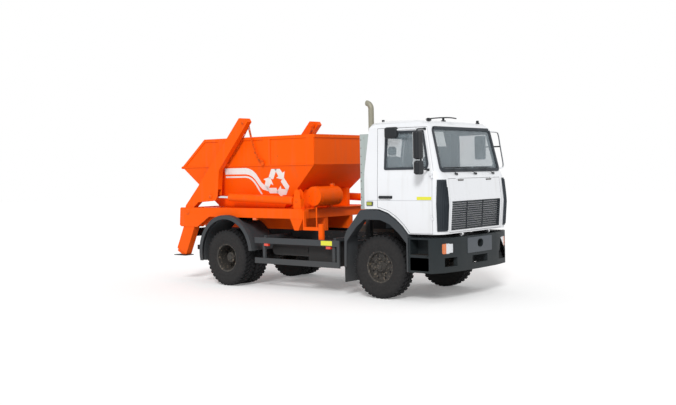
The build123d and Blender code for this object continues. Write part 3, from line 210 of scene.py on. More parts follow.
def paintFinish(name, **look):
    s = {**plainFinish, **look}
    shade = Shade(name)
    z = shade.axes()[2]
    broad = shade.noise(s["patch"], 3)
    fine = shade.noise(s["speck"], 5)
    tone = shade.mix((broad * s["vary"]).clipped(), s["tone"], s["other"])
    for level, lowTone in s["bands"]:  # another colour below a height
        tone = shade.mix(z < level, tone, lowTone)
    low = ((s["dustTop"] - z) / s["dustTop"]).clipped()
    tone = shade.mix((low * (fine + 0.5) * s["dust"] * 2).clipped(), tone, s["dustTone"])
    if s["runs"]:  # rain marks that hang down a steep wall
        drops = shade.noise(9, 5, (1, 1, 0.08))
        tone = shade.mix(((drops - 0.52) * 5 * s["runs"]).clipped(), tone, s["dustTone"])
    if s["chip"]:
        chips = (shade.noise(s["speck"] * 0.3, 8) - (1 - s["chip"])) * 14
        tone = shade.mix(chips.clipped(), tone, s["chipTone"])
    return shade.surface({
        "Base Color": tone,
        "Roughness": (broad * s["roughVary"] + low * 0.15 + s["rough"] - s["roughVary"] / 2).clipped(),
        "Metallic": s["metal"],
        "Coat Weight": s["coat"],
        "Coat Roughness": 0.08,
        "Specular IOR Level": s["sheen"],
        "Normal": shade.bump(fine, s["grain"]),
    })


orangeLook = {
    "tone": (0.95, 0.112, 0.0005), "other": (0.88, 0.092, 0.0005), "rough": 0.5, "sheen": 0.10, "dust": 0.03,
    "runs": 0.08, "grain": 0.0004, "chip": 0.30, "chipTone": (0.45, 0.09, 0.01),
}
orangePaint = paintFinish("orangePaint", **orangeLook)
legPaint = paintFinish("legPaint", **{**orangeLook, "bands": ((0.555, (0.030, 0.026, 0.024)),)})
orangeWorn = paintFinish(
    "orangeWorn", tone=(0.90, 0.125, 0.004), other=(0.60, 0.080, 0.004), vary=0.9, patch=8, rough=0.5,
    dust=0.1, chip=0.42, chipTone=(0.14, 0.06, 0.035), grain=0.0006, sheen=0.2)
chassisBlack = paintFinish(
    "chassisBlack", tone=(0.010, 0.011, 0.013), other=(0.022, 0.023, 0.025), rough=0.5, dust=0.07,
    dustTop=1.3, chip=0.36, chipTone=(0.05, 0.035, 0.03), sheen=0.2)
trimGrey = paintFinish(
    "trimGrey", tone=(0.020, 0.026, 0.033), other=(0.032, 0.039, 0.047), rough=0.52, dust=0.05, dustTop=1.4,
    speck=420, grain=0.0005, sheen=0.25)
guardGrey = paintFinish(
    "guardGrey", tone=(0.036, 0.042, 0.048), other=(0.056, 0.063, 0.070), rough=0.55, dust=0.08, dustTop=1.4,
    speck=420, grain=0.0005, sheen=0.25)
bumperGrey = paintFinish(
    "bumperGrey", tone=(0.010, 0.015, 0.017), other=(0.020, 0.026, 0.030), vary=0.8, patch=5, rough=0.5,
    dust=0.06, dustTop=1.15, dustTone=(0.17, 0.16, 0.15), speck=300, grain=0.0005, sheen=0.2)
rimBlack = paintFinish(
    "rimBlack", tone=(0.012, 0.014, 0.016), other=(0.030, 0.029, 0.027), vary=0.9, patch=9, rough=0.48,
    dust=0.10, dustTop=1.3, chip=0.42, chipTone=(0.16, 0.13, 0.10), speck=90, sheen=0.25)
engineIron = paintFinish(
    "engineIron", tone=(0.040, 0.039, 0.037), other=(0.065, 0.050, 0.038), vary=0.9, patch=6, rough=0.62,
    metal=0.3, dust=0.15, chip=0.42, chipTone=(0.11, 0.05, 0.02), speck=30, grain=0.002)
springSteel = paintFinish(
    "springSteel", tone=(0.024, 0.023, 0.022), other=(0.048, 0.037, 0.029), vary=0.9, patch=11, rough=0.6,
    metal=0.4, dust=0.15, speck=80, grain=0.001)
exhaustPaint = paintFinish(
    "exhaustPaint", tone=(0.31, 0.30, 0.235), other=(0.25, 0.235, 0.18), vary=0.9, patch=3, rough=0.5,
    metal=0.2, dust=0.04, chip=0.34, chipTone=(0.20, 0.12, 0.07), runs=0.3,
    bands=((2.862, (0.41, 0.47, 0.455)), (1.532, (0.020, 0.022, 0.024))))
mirrorBlack = paintFinish(
    "mirrorBlack", tone=(0.010, 0.012, 0.015), other=(0.018, 0.021, 0.024), rough=0.42, speck=520,
    grain=0.0004, dust=0.04, sheen=0.3)
sealRubber = paintFinish(
    "sealRubber", tone=(0.030, 0.036, 0.044), other=(0.045, 0.052, 0.060), rough=0.6, speck=200, grain=0.0004,
    dust=0.04)
boltSteel = paintFinish(
    "boltSteel", tone=(0.12, 0.115, 0.11), other=(0.07, 0.055, 0.045), vary=0.9, patch=20, rough=0.4,
    metal=0.8, dust=0.1, speck=200)
decalWhite = paintFinish(
    "decalWhite", tone=(0.86, 0.86, 0.84), other=(0.76, 0.74, 0.70), vary=0.6, patch=4, rough=0.4, dust=0.04,
    runs=0.1, grain=0.0001)
blankWhite = paintFinish(
    "blankWhite", tone=(0.80, 0.80, 0.79), other=(0.70, 0.70, 0.69), rough=0.6, dust=0.05, speck=150,
    grain=0.0002)
plateGrey = paintFinish(
    "plateGrey", tone=(0.060, 0.070, 0.084), other=(0.10, 0.112, 0.128), vary=0.9, patch=6, rough=0.55,
    dust=0.12, dustTop=1.2, dustTone=(0.25, 0.24, 0.22), speck=120)
print("paints made")


# Pressed cab metal: white outside; where a face looks inwards, a dark grey that is partly inside trim and
# partly painted shade of the cab's inside and the space behind the grille
def cabPaint():
    shade = Shade("cabWhite")
    low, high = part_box("cab_shell")
    heart = ((low + high) / 2).to_tuple()
    z = shade.axes()[2]
    facing = shade.node("ShaderNodeTexCoord", out="Normal")
    out = shade.node("ShaderNodeVectorMath", {"operation": "SUBTRACT"}, {0: shade.place(), 1: heart})
    inward = shade.node("ShaderNodeVectorMath", {"operation": "DOT_PRODUCT"}, {0: facing, 1: out},
                        out="Value") < -0.01
    broad, fine = shade.noise(1.1, 3), shade.noise(70, 5)
    white = shade.mix((broad * 0.6).clipped(), (0.80, 0.815, 0.84), (0.74, 0.755, 0.785))
    splash = ((1.75 - z) / 1.2).clipped() * (shade.noise(5, 6) + 0.1) * 0.32
    white = shade.mix(splash.clipped(), white, (0.42, 0.39, 0.35))
    drops = shade.noise(11, 5, (1, 1, 0.06))
    white = shade.mix(((drops - 0.55) * 0.9).clipped(), white, (0.5, 0.48, 0.45))
    # Inward colour: grey trim darkened into painted shade
    liningAndShade = shade.mix(fine, (0.070, 0.078, 0.088), (0.10, 0.108, 0.118))
    return shade.surface({
        "Base Color": shade.mix(inward, white, liningAndShade),
        "Roughness": (inward * 0.35 + broad * 0.12 + 0.24).clipped(),
        "Coat Weight": 0.35,
        "Coat Roughness": 0.06,
        "Normal": shade.bump(fine, 0.0003),
    })


# Clear panes: mostly see-through, a little grey, streaked with dust
def glassPane(name, tint, cover):
    shade = Shade(name)
    smear = shade.noise(3.5, 5, (1, 1, 0.5))
    haze = shade.mix((smear * 0.5).clipped(), tint, (tint[0] * 1.6, tint[1] * 1.6, tint[2] * 1.6))
    return shade.surface({
        "Base Color": haze,
        "Roughness": (smear * 0.08 + 0.02).clipped(),
        "Alpha": (smear * 0.10 + cover).clipped(),
        "Specular IOR Level": 1.0,
    })


# Lamp covers: in front, silver striped across the clear ribs, a painted reflection of the chrome reflector
# behind the lens; amber at the ends, red at the rear
def lampCover():
    shade = Shade("lampCover")
    x, y = shade.axes()[:2]
    split = lampSet["amberFrom"]
    wide = abs(y)
    ribs = (y * lampSet["ribPitch"]).wave() * 0.5 + 0.5
    # The silver is painted reflection of the chrome reflector, not a colour of the clear lens
    clear = shade.mix(ribs * 0.6 + 0.1, (0.86, 0.88, 0.90), (0.42, 0.44, 0.47))
    amber = shade.mix(ribs * 0.5, (0.75, 0.17, 0.01), (0.45, 0.07, 0.004))
    ahead = shade.mix(wide > split, clear, amber)
    red = shade.mix(ribs * 0.5, (0.55, 0.010, 0.008), (0.30, 0.004, 0.004))
    behind = shade.mix((wide > lampSet["tailAmber"]), red, (0.75, 0.19, 0.01))
    return shade.surface({
        "Base Color": shade.mix(x < 0.0, ahead, behind),
        "Roughness": (shade.noise(40) * 0.1 + 0.08).clipped(),
        "Coat Weight": 1.0,
        "Coat Roughness": 0.03,
        "Normal": shade.bump(ribs, 0.0015),
    })


lampSet = {"amberFrom": 0.945, "tailAmber": 0.80, "ribPitch": 520.0}


# Small reflectors and marker lamps with a prism pattern; the emission also makes the reflectors glow, which
# is painted glow
def reflector(name, tone, glow=0.0):
    shade = Shade(name)
    cells = shade.node("ShaderNodeTexVoronoi", {}, {"Vector": shade.place(), "Scale": 160.0})
    return shade.surface({
        "Base Color": shade.mix((cells * 1.2).clipped(), tone, tuple(0.72 * c for c in tone)),
        "Roughness": (cells * 0.2 + 0.1).clipped(),
        "Coat Weight": 0.8,
        "Emission Color": (*tone, 1),
        "Emission Strength": glow,
        "Normal": shade.bump(cells, 0.001),
    })


# Tyre rubber: dust on the walls, cleaner and blacker where the tread wears
def tyreRubber(name, axleX):
    shade = Shade(name)
    x, _, z = shade.axes()
    fromAxle = ((x - axleX) ** 2 + (z - wheelZ) ** 2) ** 0.5
    grit = shade.noise(22, 7)
    fine = shade.noise(180, 3)
    wall = ((0.53 - fromAxle) * 14).clipped()
    dust = (wall * (grit + 0.15) * 0.40).clipped()
    rings = ((fromAxle * 340).wave() * 0.5 + 0.5) * ((0.40 - fromAxle) * 30).clipped()
    tone = shade.mix(grit, (0.010, 0.010, 0.011), (0.020, 0.020, 0.021))
    tone = shade.mix((dust * 0.5).clipped(), tone, (0.085, 0.078, 0.072))
    return shade.surface({
        "Base Color": tone,
        "Specular IOR Level": 0.18,
        "Roughness": (fine * 0.2 + 0.68).clipped(),
        "Normal": shade.bump(fine + rings, 0.0012),
    })


# Woven seat cloth, with a finer weave across than along
def seatCloth():
    shade = Shade("seatCloth")
    x, y, z = shade.axes()
    weave = (y * 1400).wave() * ((x + z) * 1400).wave() * 0.5 + 0.5
    worn = shade.noise(6, 5)
    tone = shade.mix(weave, (0.045, 0.052, 0.064), (0.085, 0.095, 0.112))
    tone = shade.mix((worn * 0.6).clipped(), tone, (0.13, 0.125, 0.12))
    return shade.surface({
        "Base Color": tone,
        "Roughness": 0.9,
        "Sheen Weight": 0.3,
        "Normal": shade.bump(weave, 0.0008),
    })


def brightSteel(name, tone, rough):
    shade = Shade(name)
    lines = shade.noise(30, 6, (0.3, 8, 8))
    return shade.surface({
        "Base Color": shade.mix(lines, tone, tuple(0.8 * c for c in tone)),
        "Roughness": (lines * 0.15 + rough).clipped(),
        "Metallic": 1.0,
        "Normal": shade.bump(lines, 0.0002),
    })


cabWhite = cabPaint()
# Grey of the pressed line: painted shade of the crease in the white cab
creaseShade = paintFinish("creaseShade", tone=(0.56, 0.575, 0.60), other=(0.50, 0.51, 0.53), rough=0.4,
                         dust=0.1)
cabGlass = glassPane("cabGlass", (0.34, 0.41, 0.45), 0.22)
lampLens = lampCover()
# limeStrip and redStrip are reflectors, no lamps: their emission is painted glow
limeStrip = reflector("limeStrip", (0.78, 0.76, 0.015), 0.12)
redStrip = reflector("redStrip", (0.78, 0.05, 0.015), 0.1)
amberLamp = reflector("amberLamp", (0.85, 0.13, 0.004), 0.1)
greenLamp = reflector("greenLamp", (0.42, 0.46, 0.03), 0.05)
frontRubber = tyreRubber("frontRubber", frontAxle)
rearRubber = tyreRubber("rearRubber", rearAxle)
clothGrey = seatCloth()
rodChrome = brightSteel("rodChrome", (0.78, 0.79, 0.80), 0.12)
mirrorGlass = brightSteel("mirrorGlass", (0.85, 0.87, 0.88), 0.02)
print("materials made")

# Studio: a pale floor and a sky that lights evenly but shows white
stageSet = {"floorHalf": 60.0, "skyLevel": 0.62, "keyLevel": 1.95, "keyAngle": 14,
            "keyFrom": (4.6, -7.0, 5.6)}


def seenDirectly(shade):
    path = shade.node("ShaderNodeLightPath")
    rays = [Wire(shade, path.socket.node.outputs[key]) for key in
            ("Is Camera Ray", "Is Glossy Ray", "Is Transmission Ray")]
    return (rays[0] + rays[1] + rays[2]).clipped()


def makeStage(s):
    floorShade = Shade("paleFloor")
    grain = floorShade.noise(0.6, 3)
    lit = floorShade.node("ShaderNodeBsdfDiffuse", {},
                          {"Color": floorShade.mix(grain * 0.1, (0.86,) * 3, (0.82,) * 3)})
    shown = floorShade.node("ShaderNodeBsdfDiffuse", {}, {"Color": (0.9, 0.9, 0.9, 1)})
    glow = floorShade.node("ShaderNodeEmission", {}, {"Color": (1, 1, 1, 1), "Strength": 0.18})
    bright = floorShade.node("ShaderNodeAddShader", {}, {0: shown, 1: glow})
    face = floorShade.node("ShaderNodeMixShader", {}, {0: seenDirectly(floorShade), 1: lit, 2: bright})
    floorShade.node("ShaderNodeOutputMaterial", {}, {0: face})
    bm = bmesh.new()
    bmesh.ops.create_grid(bm, x_segments=1, y_segments=1, size=s["floorHalf"])
    mesh = bpy.data.meshes.new("floor")
    bm.to_mesh(mesh)
    bm.free()
    floor = bpy.data.objects.new("floor", mesh)
    mesh.materials.append(floorShade.material)
    bpy.context.scene.collection.objects.link(floor)
    floor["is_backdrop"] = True
    world = bpy.data.worlds.new("studio")
    bpy.context.scene.world = world
    world.use_nodes = True
    sky = Shade.__new__(Shade)
    sky.tree = world.node_tree
    sky.tree.nodes.clear()
    level = seenDirectly(sky) * (1 - s["skyLevel"]) + s["skyLevel"]
    light = sky.node("ShaderNodeBackground", {}, {"Color": (1, 1, 1, 1), "Strength": level})
    sky.node("ShaderNodeOutputWorld", {}, {0: light})
    lamp = bpy.data.lights.new("keyLight", "SUN")
    lamp.energy = s["keyLevel"]
    lamp.angle = math.radians(s["keyAngle"])
    key = bpy.data.objects.new("keyLight", lamp)
    key.matrix_world = Vector(s["keyFrom"]).to_track_quat("Z", "Y").to_matrix().to_4x4()
    bpy.context.scene.collection.objects.link(key)


makeStage(stageSet)
print("stage set")

# Finish of the CAD nodes: material, bevel width in metres, node names
nodeFinish = (
    (chassisBlack, 0.003, "frame_rails"),
    (engineIron, 0.008, "engine_block"),
    (chassisBlack, 0.004, "axles knuckle_left knuckle_right fuel_tank battery_box rear_underrun"),
    (chassisBlack, 0.002, "propshaft"), (springSteel, 0.002, "leaf_springs"),
    (chassisBlack, 0, "tie_rod"),
    (frontRubber, 0, "front_tyre_left front_tyre_right"),
    (rimBlack, 0, "front_rim_left front_rim_right rear_rims_left rear_rims_right"),
    (rearRubber, 0, "rear_tyres_left rear_tyres_right"),
    (orangePaint, 0.003, "deck_frame side_beams leg_sleeves barrel_left barrel_right skip oil_tank "
                         "deck_stops control_stand"),
    (legPaint, 0.003, "leg_left leg_right"),
    (orangePaint, 0.005, "arm_left arm_right"),
    (orangePaint, 0.002, "arm_tube"),
    (rodChrome, 0.001, "rod_left rod_right"),
    (orangeWorn, 0.002, "chains"),
    (cabWhite, 0.004, "door_left door_right"),
    (cabWhite, 0.005, "front_lid"),
    (trimGrey, 0.002, "grille intake_panels"),
    (cabWhite, 0.008, "cab_shell"),
    (cabGlass, 0, "cab_glass door_glass_left door_glass_right"),
    (bumperGrey, 0.008, "bumper"),
    (bumperGrey, 0.006, "steps"),
    (guardGrey, 0.004, "mudguards"),
    (guardGrey, 0.003, "side_guards"),
    (exhaustPaint, 0.003, "exhaust_stack"),
    (lampLens, 0.003, "lamps"),
    (clothGrey, 0.01, "seats"),
    (trimGrey, 0.006, "dashboard"),
    (mirrorBlack, 0.004, "mirrors_left mirrors_right"),
)


# Edges steeper than the given angle stay sharp, the rest is shaded smooth
def smoothingGroup(limit):
    group = bpy.data.node_groups.new("smoothByAngle", "GeometryNodeTree")
    group.interface.new_socket("Geometry", in_out="INPUT", socket_type="NodeSocketGeometry")
    group.interface.new_socket("Geometry", in_out="OUTPUT", socket_type="NodeSocketGeometry")
    start = group.nodes.new("NodeGroupInput")
    end = group.nodes.new("NodeGroupOutput")
    faces = group.nodes.new("GeometryNodeSetShadeSmooth")
    faces.domain = "FACE"
    angle = group.nodes.new("GeometryNodeInputMeshEdgeAngle")
    steep = group.nodes.new("FunctionNodeCompare")
    steep.data_type = "FLOAT"
    steep.operation = "GREATER_THAN"
    steep.inputs[1].default_value = math.radians(limit)
    edges = group.nodes.new("GeometryNodeSetShadeSmooth")
    edges.domain = "EDGE"
    edges.inputs["Shade Smooth"].default_value = False
    group.links.new(start.outputs[0], faces.inputs["Geometry"])
    group.links.new(angle.outputs[0], steep.inputs[0])
    group.links.new(faces.outputs[0], edges.inputs["Geometry"])
    group.links.new(steep.outputs[0], edges.inputs["Selection"])
    group.links.new(edges.outputs[0], end.inputs[0])
    return group


sharpFrom = 38
smoothing = smoothingGroup(sharpFrom)


def roundEdges(thing, width, segments):
    edge = thing.modifiers.new("edge", "BEVEL")
    edge.width = width
    edge.segments = segments
    edge.limit_method = "ANGLE"
    edge.angle_limit = math.radians(sharpFrom)
    edge.miter_outer = "MITER_ARC"


def dressNode(node, material, bevelWidth):
    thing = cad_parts[node]
    if not thing.material_slots:
        thing.data.materials.append(material)
    for slot in thing.material_slots:
        slot.material = material
    weld = thing.modifiers.new("weld", "WELD")
    weld.merge_threshold = 0.00002
    if bevelWidth:
        flat = thing.modifiers.new("flat", "DECIMATE")
        flat.decimate_type = "DISSOLVE"
        flat.angle_limit = math.radians(0.5)
        roundEdges(thing, bevelWidth, 2)
    smooth = thing.modifiers.new("smooth", "NODES")
    smooth.node_group = smoothing
    if bevelWidth:
        thing.modifiers.new("weights", "WEIGHTED_NORMAL").keep_sharp = True


for material, bevelWidth, nodes in nodeFinish:
    for node in nodes.split():
        dressNode(node, material, bevelWidth)
print("nodes dressed")

# Skins of the CAD nodes, to seat small pieces on
skins = {}


def castOn(node, point, along, must=True):
    if node not in skins:
        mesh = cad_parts[node].data
        corners = [v.co.copy() for v in mesh.vertices]
        skins[node] = BVHTree.FromPolygons(corners, [list(p.vertices) for p in mesh.polygons])
    spot, normal, _, _ = skins[node].ray_cast(Vector(point), Vector(along).normalized())
    if spot is None and must:
        raise ValueError(f"no skin of {node} at {tuple(round(c, 3) for c in point)}")
    return spot, normal


# Height of a side skin at x and z, seen from outside
def sideSkin(node, x, z, s):
    return castOn(node, (x, 2.5 * s, z), (0, -s, 0))[0].y


def finishMesh(name, bm, body, material, bevel=0.0, segments=2):
    bmesh.ops.remove_doubles(bm, verts=bm.verts, dist=0.00001)
    bmesh.ops.recalc_face_normals(bm, faces=bm.faces)
    mesh = bpy.data.meshes.new(name)
    bm.to_mesh(mesh)
    bm.free()
    mesh.materials.append(material)
    piece = bpy.data.objects.new(name, mesh)
    bpy.context.scene.collection.objects.link(piece)
    if bevel:
        roundEdges(piece, bevel, segments)
    piece.modifiers.new("smooth", "NODES").node_group = smoothing
    if bevel:
        piece.modifiers.new("weights", "WEIGHTED_NORMAL").keep_sharp = True
    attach(piece, body)
    return piece


def block(bm, low, high, turn=None):
    made = bmesh.ops.create_cube(bm, size=1)["verts"]
    centre = (Vector(low) + Vector(high)) / 2
    size = Vector(high) - Vector(low)
    bmesh.ops.scale(bm, vec=[abs(c) for c in size], verts=made)
    if turn:
        bmesh.ops.rotate(bm, cent=(0, 0, 0), matrix=turn, verts=made)
    bmesh.ops.translate(bm, vec=centre, verts=made)
    return made


def rod(bm, start, end, radius, sides=16, tip=None):
    start, end = Vector(start), Vector(end)
    run = end - start
    turn = run.to_track_quat("Z", "Y").to_matrix().to_4x4()
    place = Matrix.Translation((start + end) / 2) @ turn
    far = radius if tip is None else tip
    bmesh.ops.create_cone(bm, cap_ends=True, segments=sides, radius1=radius, radius2=far,
                          depth=run.length, matrix=place)


def thicken(bm, faces, push):
    made = bmesh.ops.extrude_face_region(bm, geom=faces)["geom"]
    bmesh.ops.translate(bm, vec=push, verts=[v for v in made if isinstance(v, bmesh.types.BMVert)])


# A flat outline with its thickness
def plate(bm, points, push):
    thicken(bm, [bm.faces.new([bm.verts.new(p) for p in points])], push)


# A (radius, y) profile turned about the axle line through x and z
def spun(bm, x, z, profile, steps, close=True):
    ring = [bm.verts.new((x, y, z + r)) for r, y in profile]
    edges = [bm.edges.new((ring[i], ring[i + 1])) for i in range(len(ring) - 1)]
    if close:
        edges.append(bm.edges.new((ring[-1], ring[0])))
    bmesh.ops.spin(bm, geom=ring + edges, cent=(x, 0, z), axis=(0, 1, 0), angle=math.tau, steps=steps,
                   use_merge=True)


# A bent round bar through a few points
def bentBar(name, points, radius, body, material):
    data = bpy.data.curves.new(name, "CURVE")
    data.dimensions = "3D"
    data.bevel_depth = radius
    data.bevel_resolution = 3
    data.use_fill_caps = True
    line = data.splines.new("NURBS")
    line.points.add(len(points) - 1)
    for spot, point in zip(line.points, points):
        spot.co = (*point, 1)
    line.order_u = 3
    line.use_endpoint_u = True
    data.materials.append(material)
    piece = bpy.data.objects.new(name, data)
    bpy.context.scene.collection.objects.link(piece)
    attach(piece, body)


# Tyres: a moulded carcass with staggered tread blocks and shoulder lugs
tyreSet = {
    "steps": 96,
    "wall": [(0.2625, 0.112), (0.272, 0.130), (0.300, 0.140), (0.335, 0.1455), (0.341, 0.1485),
             (0.352, 0.1485), (0.358, 0.1462), (0.400, 0.1492), (0.440, 0.1478), (0.478, 0.1425),
             (0.505, 0.1355), (0.524, 0.126), (0.531, 0.112), (0.533, 0.050)],
    "lugs": 38,
    "tip": 0.5497,
    "root": 0.526,
}


def treadBlock(bm, x, z, middle, angle, halfTurn, near, far, tip, root, slant):
    corners = []
    for radius, spread in ((root, 1.10), (tip, 0.92)):
        for y, turn in ((near, -1), (far, -1), (far, 1), (near, 1)):
            a = angle + turn * halfTurn * spread + slant * (y - near)
            corners.append(bm.verts.new((x + radius * math.sin(a), middle + y, z + radius * math.cos(a))))
    for face in ((3, 2, 1, 0), (4, 5, 6, 7), (0, 1, 5, 4), (1, 2, 6, 5), (2, 3, 7, 6), (3, 0, 4, 7)):
        bm.faces.new([corners[i] for i in face])


def tyreMesh(bm, x, z, middle, s):
    wall = s["wall"]
    profile = [(r, middle - y) for r, y in wall] + [(r, middle + y) for r, y in reversed(wall)]
    spun(bm, x, z, profile, s["steps"])
    pitch = math.tau / s["lugs"]
    for i in range(s["lugs"]):
        a = i * pitch
        for side in (-1, 1):
            shift = 0.25 * pitch * side
            treadBlock(bm, x, z, middle, a + shift, pitch * 0.30, side * 0.078, side * 0.1295,
                       s["tip"] - 0.004, 0.500, 0.35 * side)
            treadBlock(bm, x, z, middle, a + shift + pitch * 0.46, pitch * 0.33, side * 0.010, side * 0.068,
                       s["tip"], s["root"], 1.3 * side)


for side, s in sides:
    for end, axle, body, middles in (
            ("front", frontAxle, f"wheel_front_{side}", [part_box(f"front_tyre_{side}")]),
            ("rear", rearAxle, f"wheel_rear_{side}", [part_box(f"rear_tyres_{side}")])):
        low, high = middles[0]
        if end == "front":
            lines = [(low.y + high.y) / 2]
        else:
            lines = [low.y + 0.15, high.y - 0.15]
        bm = bmesh.new()
        for line in lines:
            tyreMesh(bm, axle, wheelZ, line, tyreSet)
        tyre = finishMesh(f"tread_{end}_{side}", bm, body, frontRubber if end == "front" else rearRubber,
                          0.0016, 1)
        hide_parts(f"front_tyre_{side}" if end == "front" else f"rear_tyres_{side}")
print("tyres made")

# Wheel faces: lock ring, nuts, hand holes and hub cap
wheelSet = {
    "front": {"disc": 0.0742, "nutRing": 0.142, "nuts": 10, "holeRing": 0.200, "holes": 8, "hub": 0.1205,
              "cap": 0.078},
    "rear": {"disc": -0.158, "nutRing": 0.155, "nuts": 10, "holeRing": 0.205, "holes": 8, "hub": 0.0178,
             "cap": 0.096},
}


# Places in x and z on a ring, in order
def around(x, z, count, radius, shift=0.0):
    for i in range(count):
        a = math.tau * (i + shift) / count
        yield x + radius * math.sin(a), z + radius * math.cos(a)


def wheelFace(end, side, s, look, axle, outerY, body):
    bm = bmesh.new()
    lip = [(0.2495, 0.100), (0.2495, 0.121), (0.262, 0.127), (0.272, 0.132), (0.2795, 0.131), (0.2795, 0.124),
           (0.264, 0.112)]
    spun(bm, axle, wheelZ, [(r, outerY + s * y) for r, y in lip], 72)
    inner = [(0.2490, 0.020), (0.2490, 0.098), (0.2440, 0.098), (0.2380, 0.060), (0.2440, 0.020)]
    spun(bm, axle, wheelZ, [(r, outerY + s * y) for r, y in inner], 72)
    face = outerY + s * look["disc"]
    boss = [(look["nutRing"] - 0.027, 0.0), (look["nutRing"] - 0.024, 0.010),
            (look["nutRing"] + 0.024, 0.010),
            (look["nutRing"] + 0.030, 0.0)]
    spun(bm, axle, wheelZ, [(r, face + s * (y - 0.001)) for r, y in boss], 72)
    collar = [(0.021, -0.001), (0.021, 0.004), (0.026, 0.004), (0.029, -0.001)]
    for x, z in around(axle, wheelZ, look["holes"], look["holeRing"], 0.5):
        spun(bm, x, z, [(r, face + s * y) for r, y in collar], 20)
    hub = outerY + s * look["hub"]
    cap = look["cap"]
    dome = [(0.001, 0.030), (cap * 0.50, 0.029), (cap * 0.60, 0.024), (cap * 0.64, 0.006), (cap, 0.004),
            (cap, -0.002), (0.001, -0.002)]
    spun(bm, axle, wheelZ, [(r, hub + s * y) for r, y in dome], 48)
    finishMesh(f"wheel_face_{end}_{side}", bm, body, rimBlack, 0.0015, 2)
    bm = bmesh.new()
    for x, z in around(axle, wheelZ, look["nuts"], look["nutRing"]):
        rod(bm, (x, face + s * 0.008, z), (x, face + s * 0.030, z), 0.0165, 6)
        rod(bm, (x, face + s * 0.028, z), (x, face + s * 0.046, z), 0.0095, 12, 0.0075)
    for x, z in around(axle, wheelZ, 8, cap * 0.84, 0.25):
        rod(bm, (x, hub + s * 0.003, z), (x, hub + s * 0.012, z), 0.0075, 6)
    finishMesh(f"wheel_nuts_{end}_{side}", bm, body, boltSteel, 0.0012, 1)
    # Near-black discs in the hand holes: painted shade seen through the holes
    bm = bmesh.new()
    for x, z in around(axle, wheelZ, look["holes"], look["holeRing"], 0.5):
        rod(bm, (x, face + s * -0.001, z), (x, face + s * 0.0015, z), 0.0212, 20)
    finishMesh(f"wheel_hole_shade_{end}_{side}", bm, body, gapShade)


# Near black that stands in for shade in holes, the stack's mouth and the gap behind the front wheels: painted
# shade
gapShade = paintFinish("gapShade", tone=(0.004, 0.004, 0.005), other=(0.010, 0.010, 0.011), rough=0.8,
                       dust=0.02)
for side, s in sides:
    wheelFace("front", side, s, wheelSet["front"], frontAxle, middle(f"front_tyre_{side}").y,
              f"wheel_front_{side}")
    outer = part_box(f"rear_tyres_{side}")[1 if s > 0 else 0].y - s * 0.15
    wheelFace("rear", side, s, wheelSet["rear"], rearAxle, outer, f"wheel_rear_{side}")
print("wheel faces made")


# A flat ring seal round an opening: the outer outline is laid on the skin, the inner edge follows it
def seal(name, points, radius, width, body, material, depthAt, toSpace, push, bevel=0.004):
    bm = bmesh.new()
    face = bm.faces.new([bm.verts.new((u, 0, w)) for u, w in points])
    bmesh.ops.bevel(bm, geom=face.verts[:], offset=radius, segments=5, profile=0.5, affect="VERTICES",
                    material=-1)
    bmesh.ops.subdivide_edges(bm, edges=[e for e in bm.edges if e.calc_length() > 0.2], cuts=3)
    bmesh.ops.inset_region(bm, faces=bm.faces[:], thickness=width, use_boundary=True, use_even_offset=True)
    outer = [v for v in bm.verts if any(e.is_boundary for e in v.link_edges)]
    inner = [v for v in bm.verts if v not in outer]
    bmesh.ops.delete(bm, geom=[f for f in bm.faces if all(v in inner for v in f.verts)], context="FACES_ONLY")
    flat = {v: v.co.copy() for v in bm.verts}
    depth = {v: depthAt(flat[v].x, flat[v].z) for v in outer}
    for v in bm.verts:
        near = v if v in depth else min(outer, key=lambda o: (flat[o] - flat[v]).length)
        v.co = Vector(toSpace(flat[v].x, flat[v].z, depth[near])) - Vector(push) * 0.25
    thicken(bm, bm.faces[:], Vector(push) * 1.25)
    return finishMesh(name, bm, body, material, bevel, 2)


# Window seals of doors, windscreen and rear wall
fa, ra = frontAxle, rearAxle
doorWindow = [(fa + 0.174, 2.219), (fa + 0.188, 2.876), (fa + 0.902, 2.876), (fa + 1.026, 2.302),
              (fa + 1.000, 2.219)]
for side, s in sides:
    seal(f"window_seal_{side}", doorWindow, 0.030, 0.042, f"door_{side}", sealRubber,
         lambda x, z: sideSkin(f"door_{side}", x, z, s), lambda x, z, y: (x, y, z), (0, 0.010 * s, 0))


def frontSkin(y, z):
    return castOn("cab_shell", (fa + 3, y, z), (-1, 0, 0))[0].x


screenEdge = [(-0.978, 2.168), (-0.948, 2.938), (0.948, 2.938), (0.978, 2.168)]
seal("screen_seal", screenEdge, 0.085, 0.052, "cab", sealRubber, frontSkin,
     lambda y, z, x: (x, y, z), (0.016, 0, 0.003), 0.006)
for side, s in sides:
    rearEdge = [(s * 0.122, 2.272), (s * 0.122, 2.818), (s * 0.788, 2.818), (s * 0.788, 2.272)]
    seal(f"rear_seal_{side}", rearEdge, 0.07, 0.045, "cab", sealRubber,
         lambda y, z: castOn("cab_shell", (fa - 2, y, z), (1, 0, 0))[0].x, lambda y, z, x: (x, y, z),
         (-0.012, 0, 0))
print("seals made")


# A rounded pad laid on a side skin: half sizes about its centre at x and z
def sidePad(bm, node, x, z, halfX, halfZ, s, proud, sunk=0.002):
    corners = []
    for dx, dz in ((-halfX, -halfZ), (halfX, -halfZ), (halfX, halfZ), (-halfX, halfZ)):
        y = sideSkin(node, x + dx, z + dz, s)
        corners.append((x + dx, y - s * sunk, z + dz))
    plate(bm, corners, (0, s * (proud + sunk), 0))
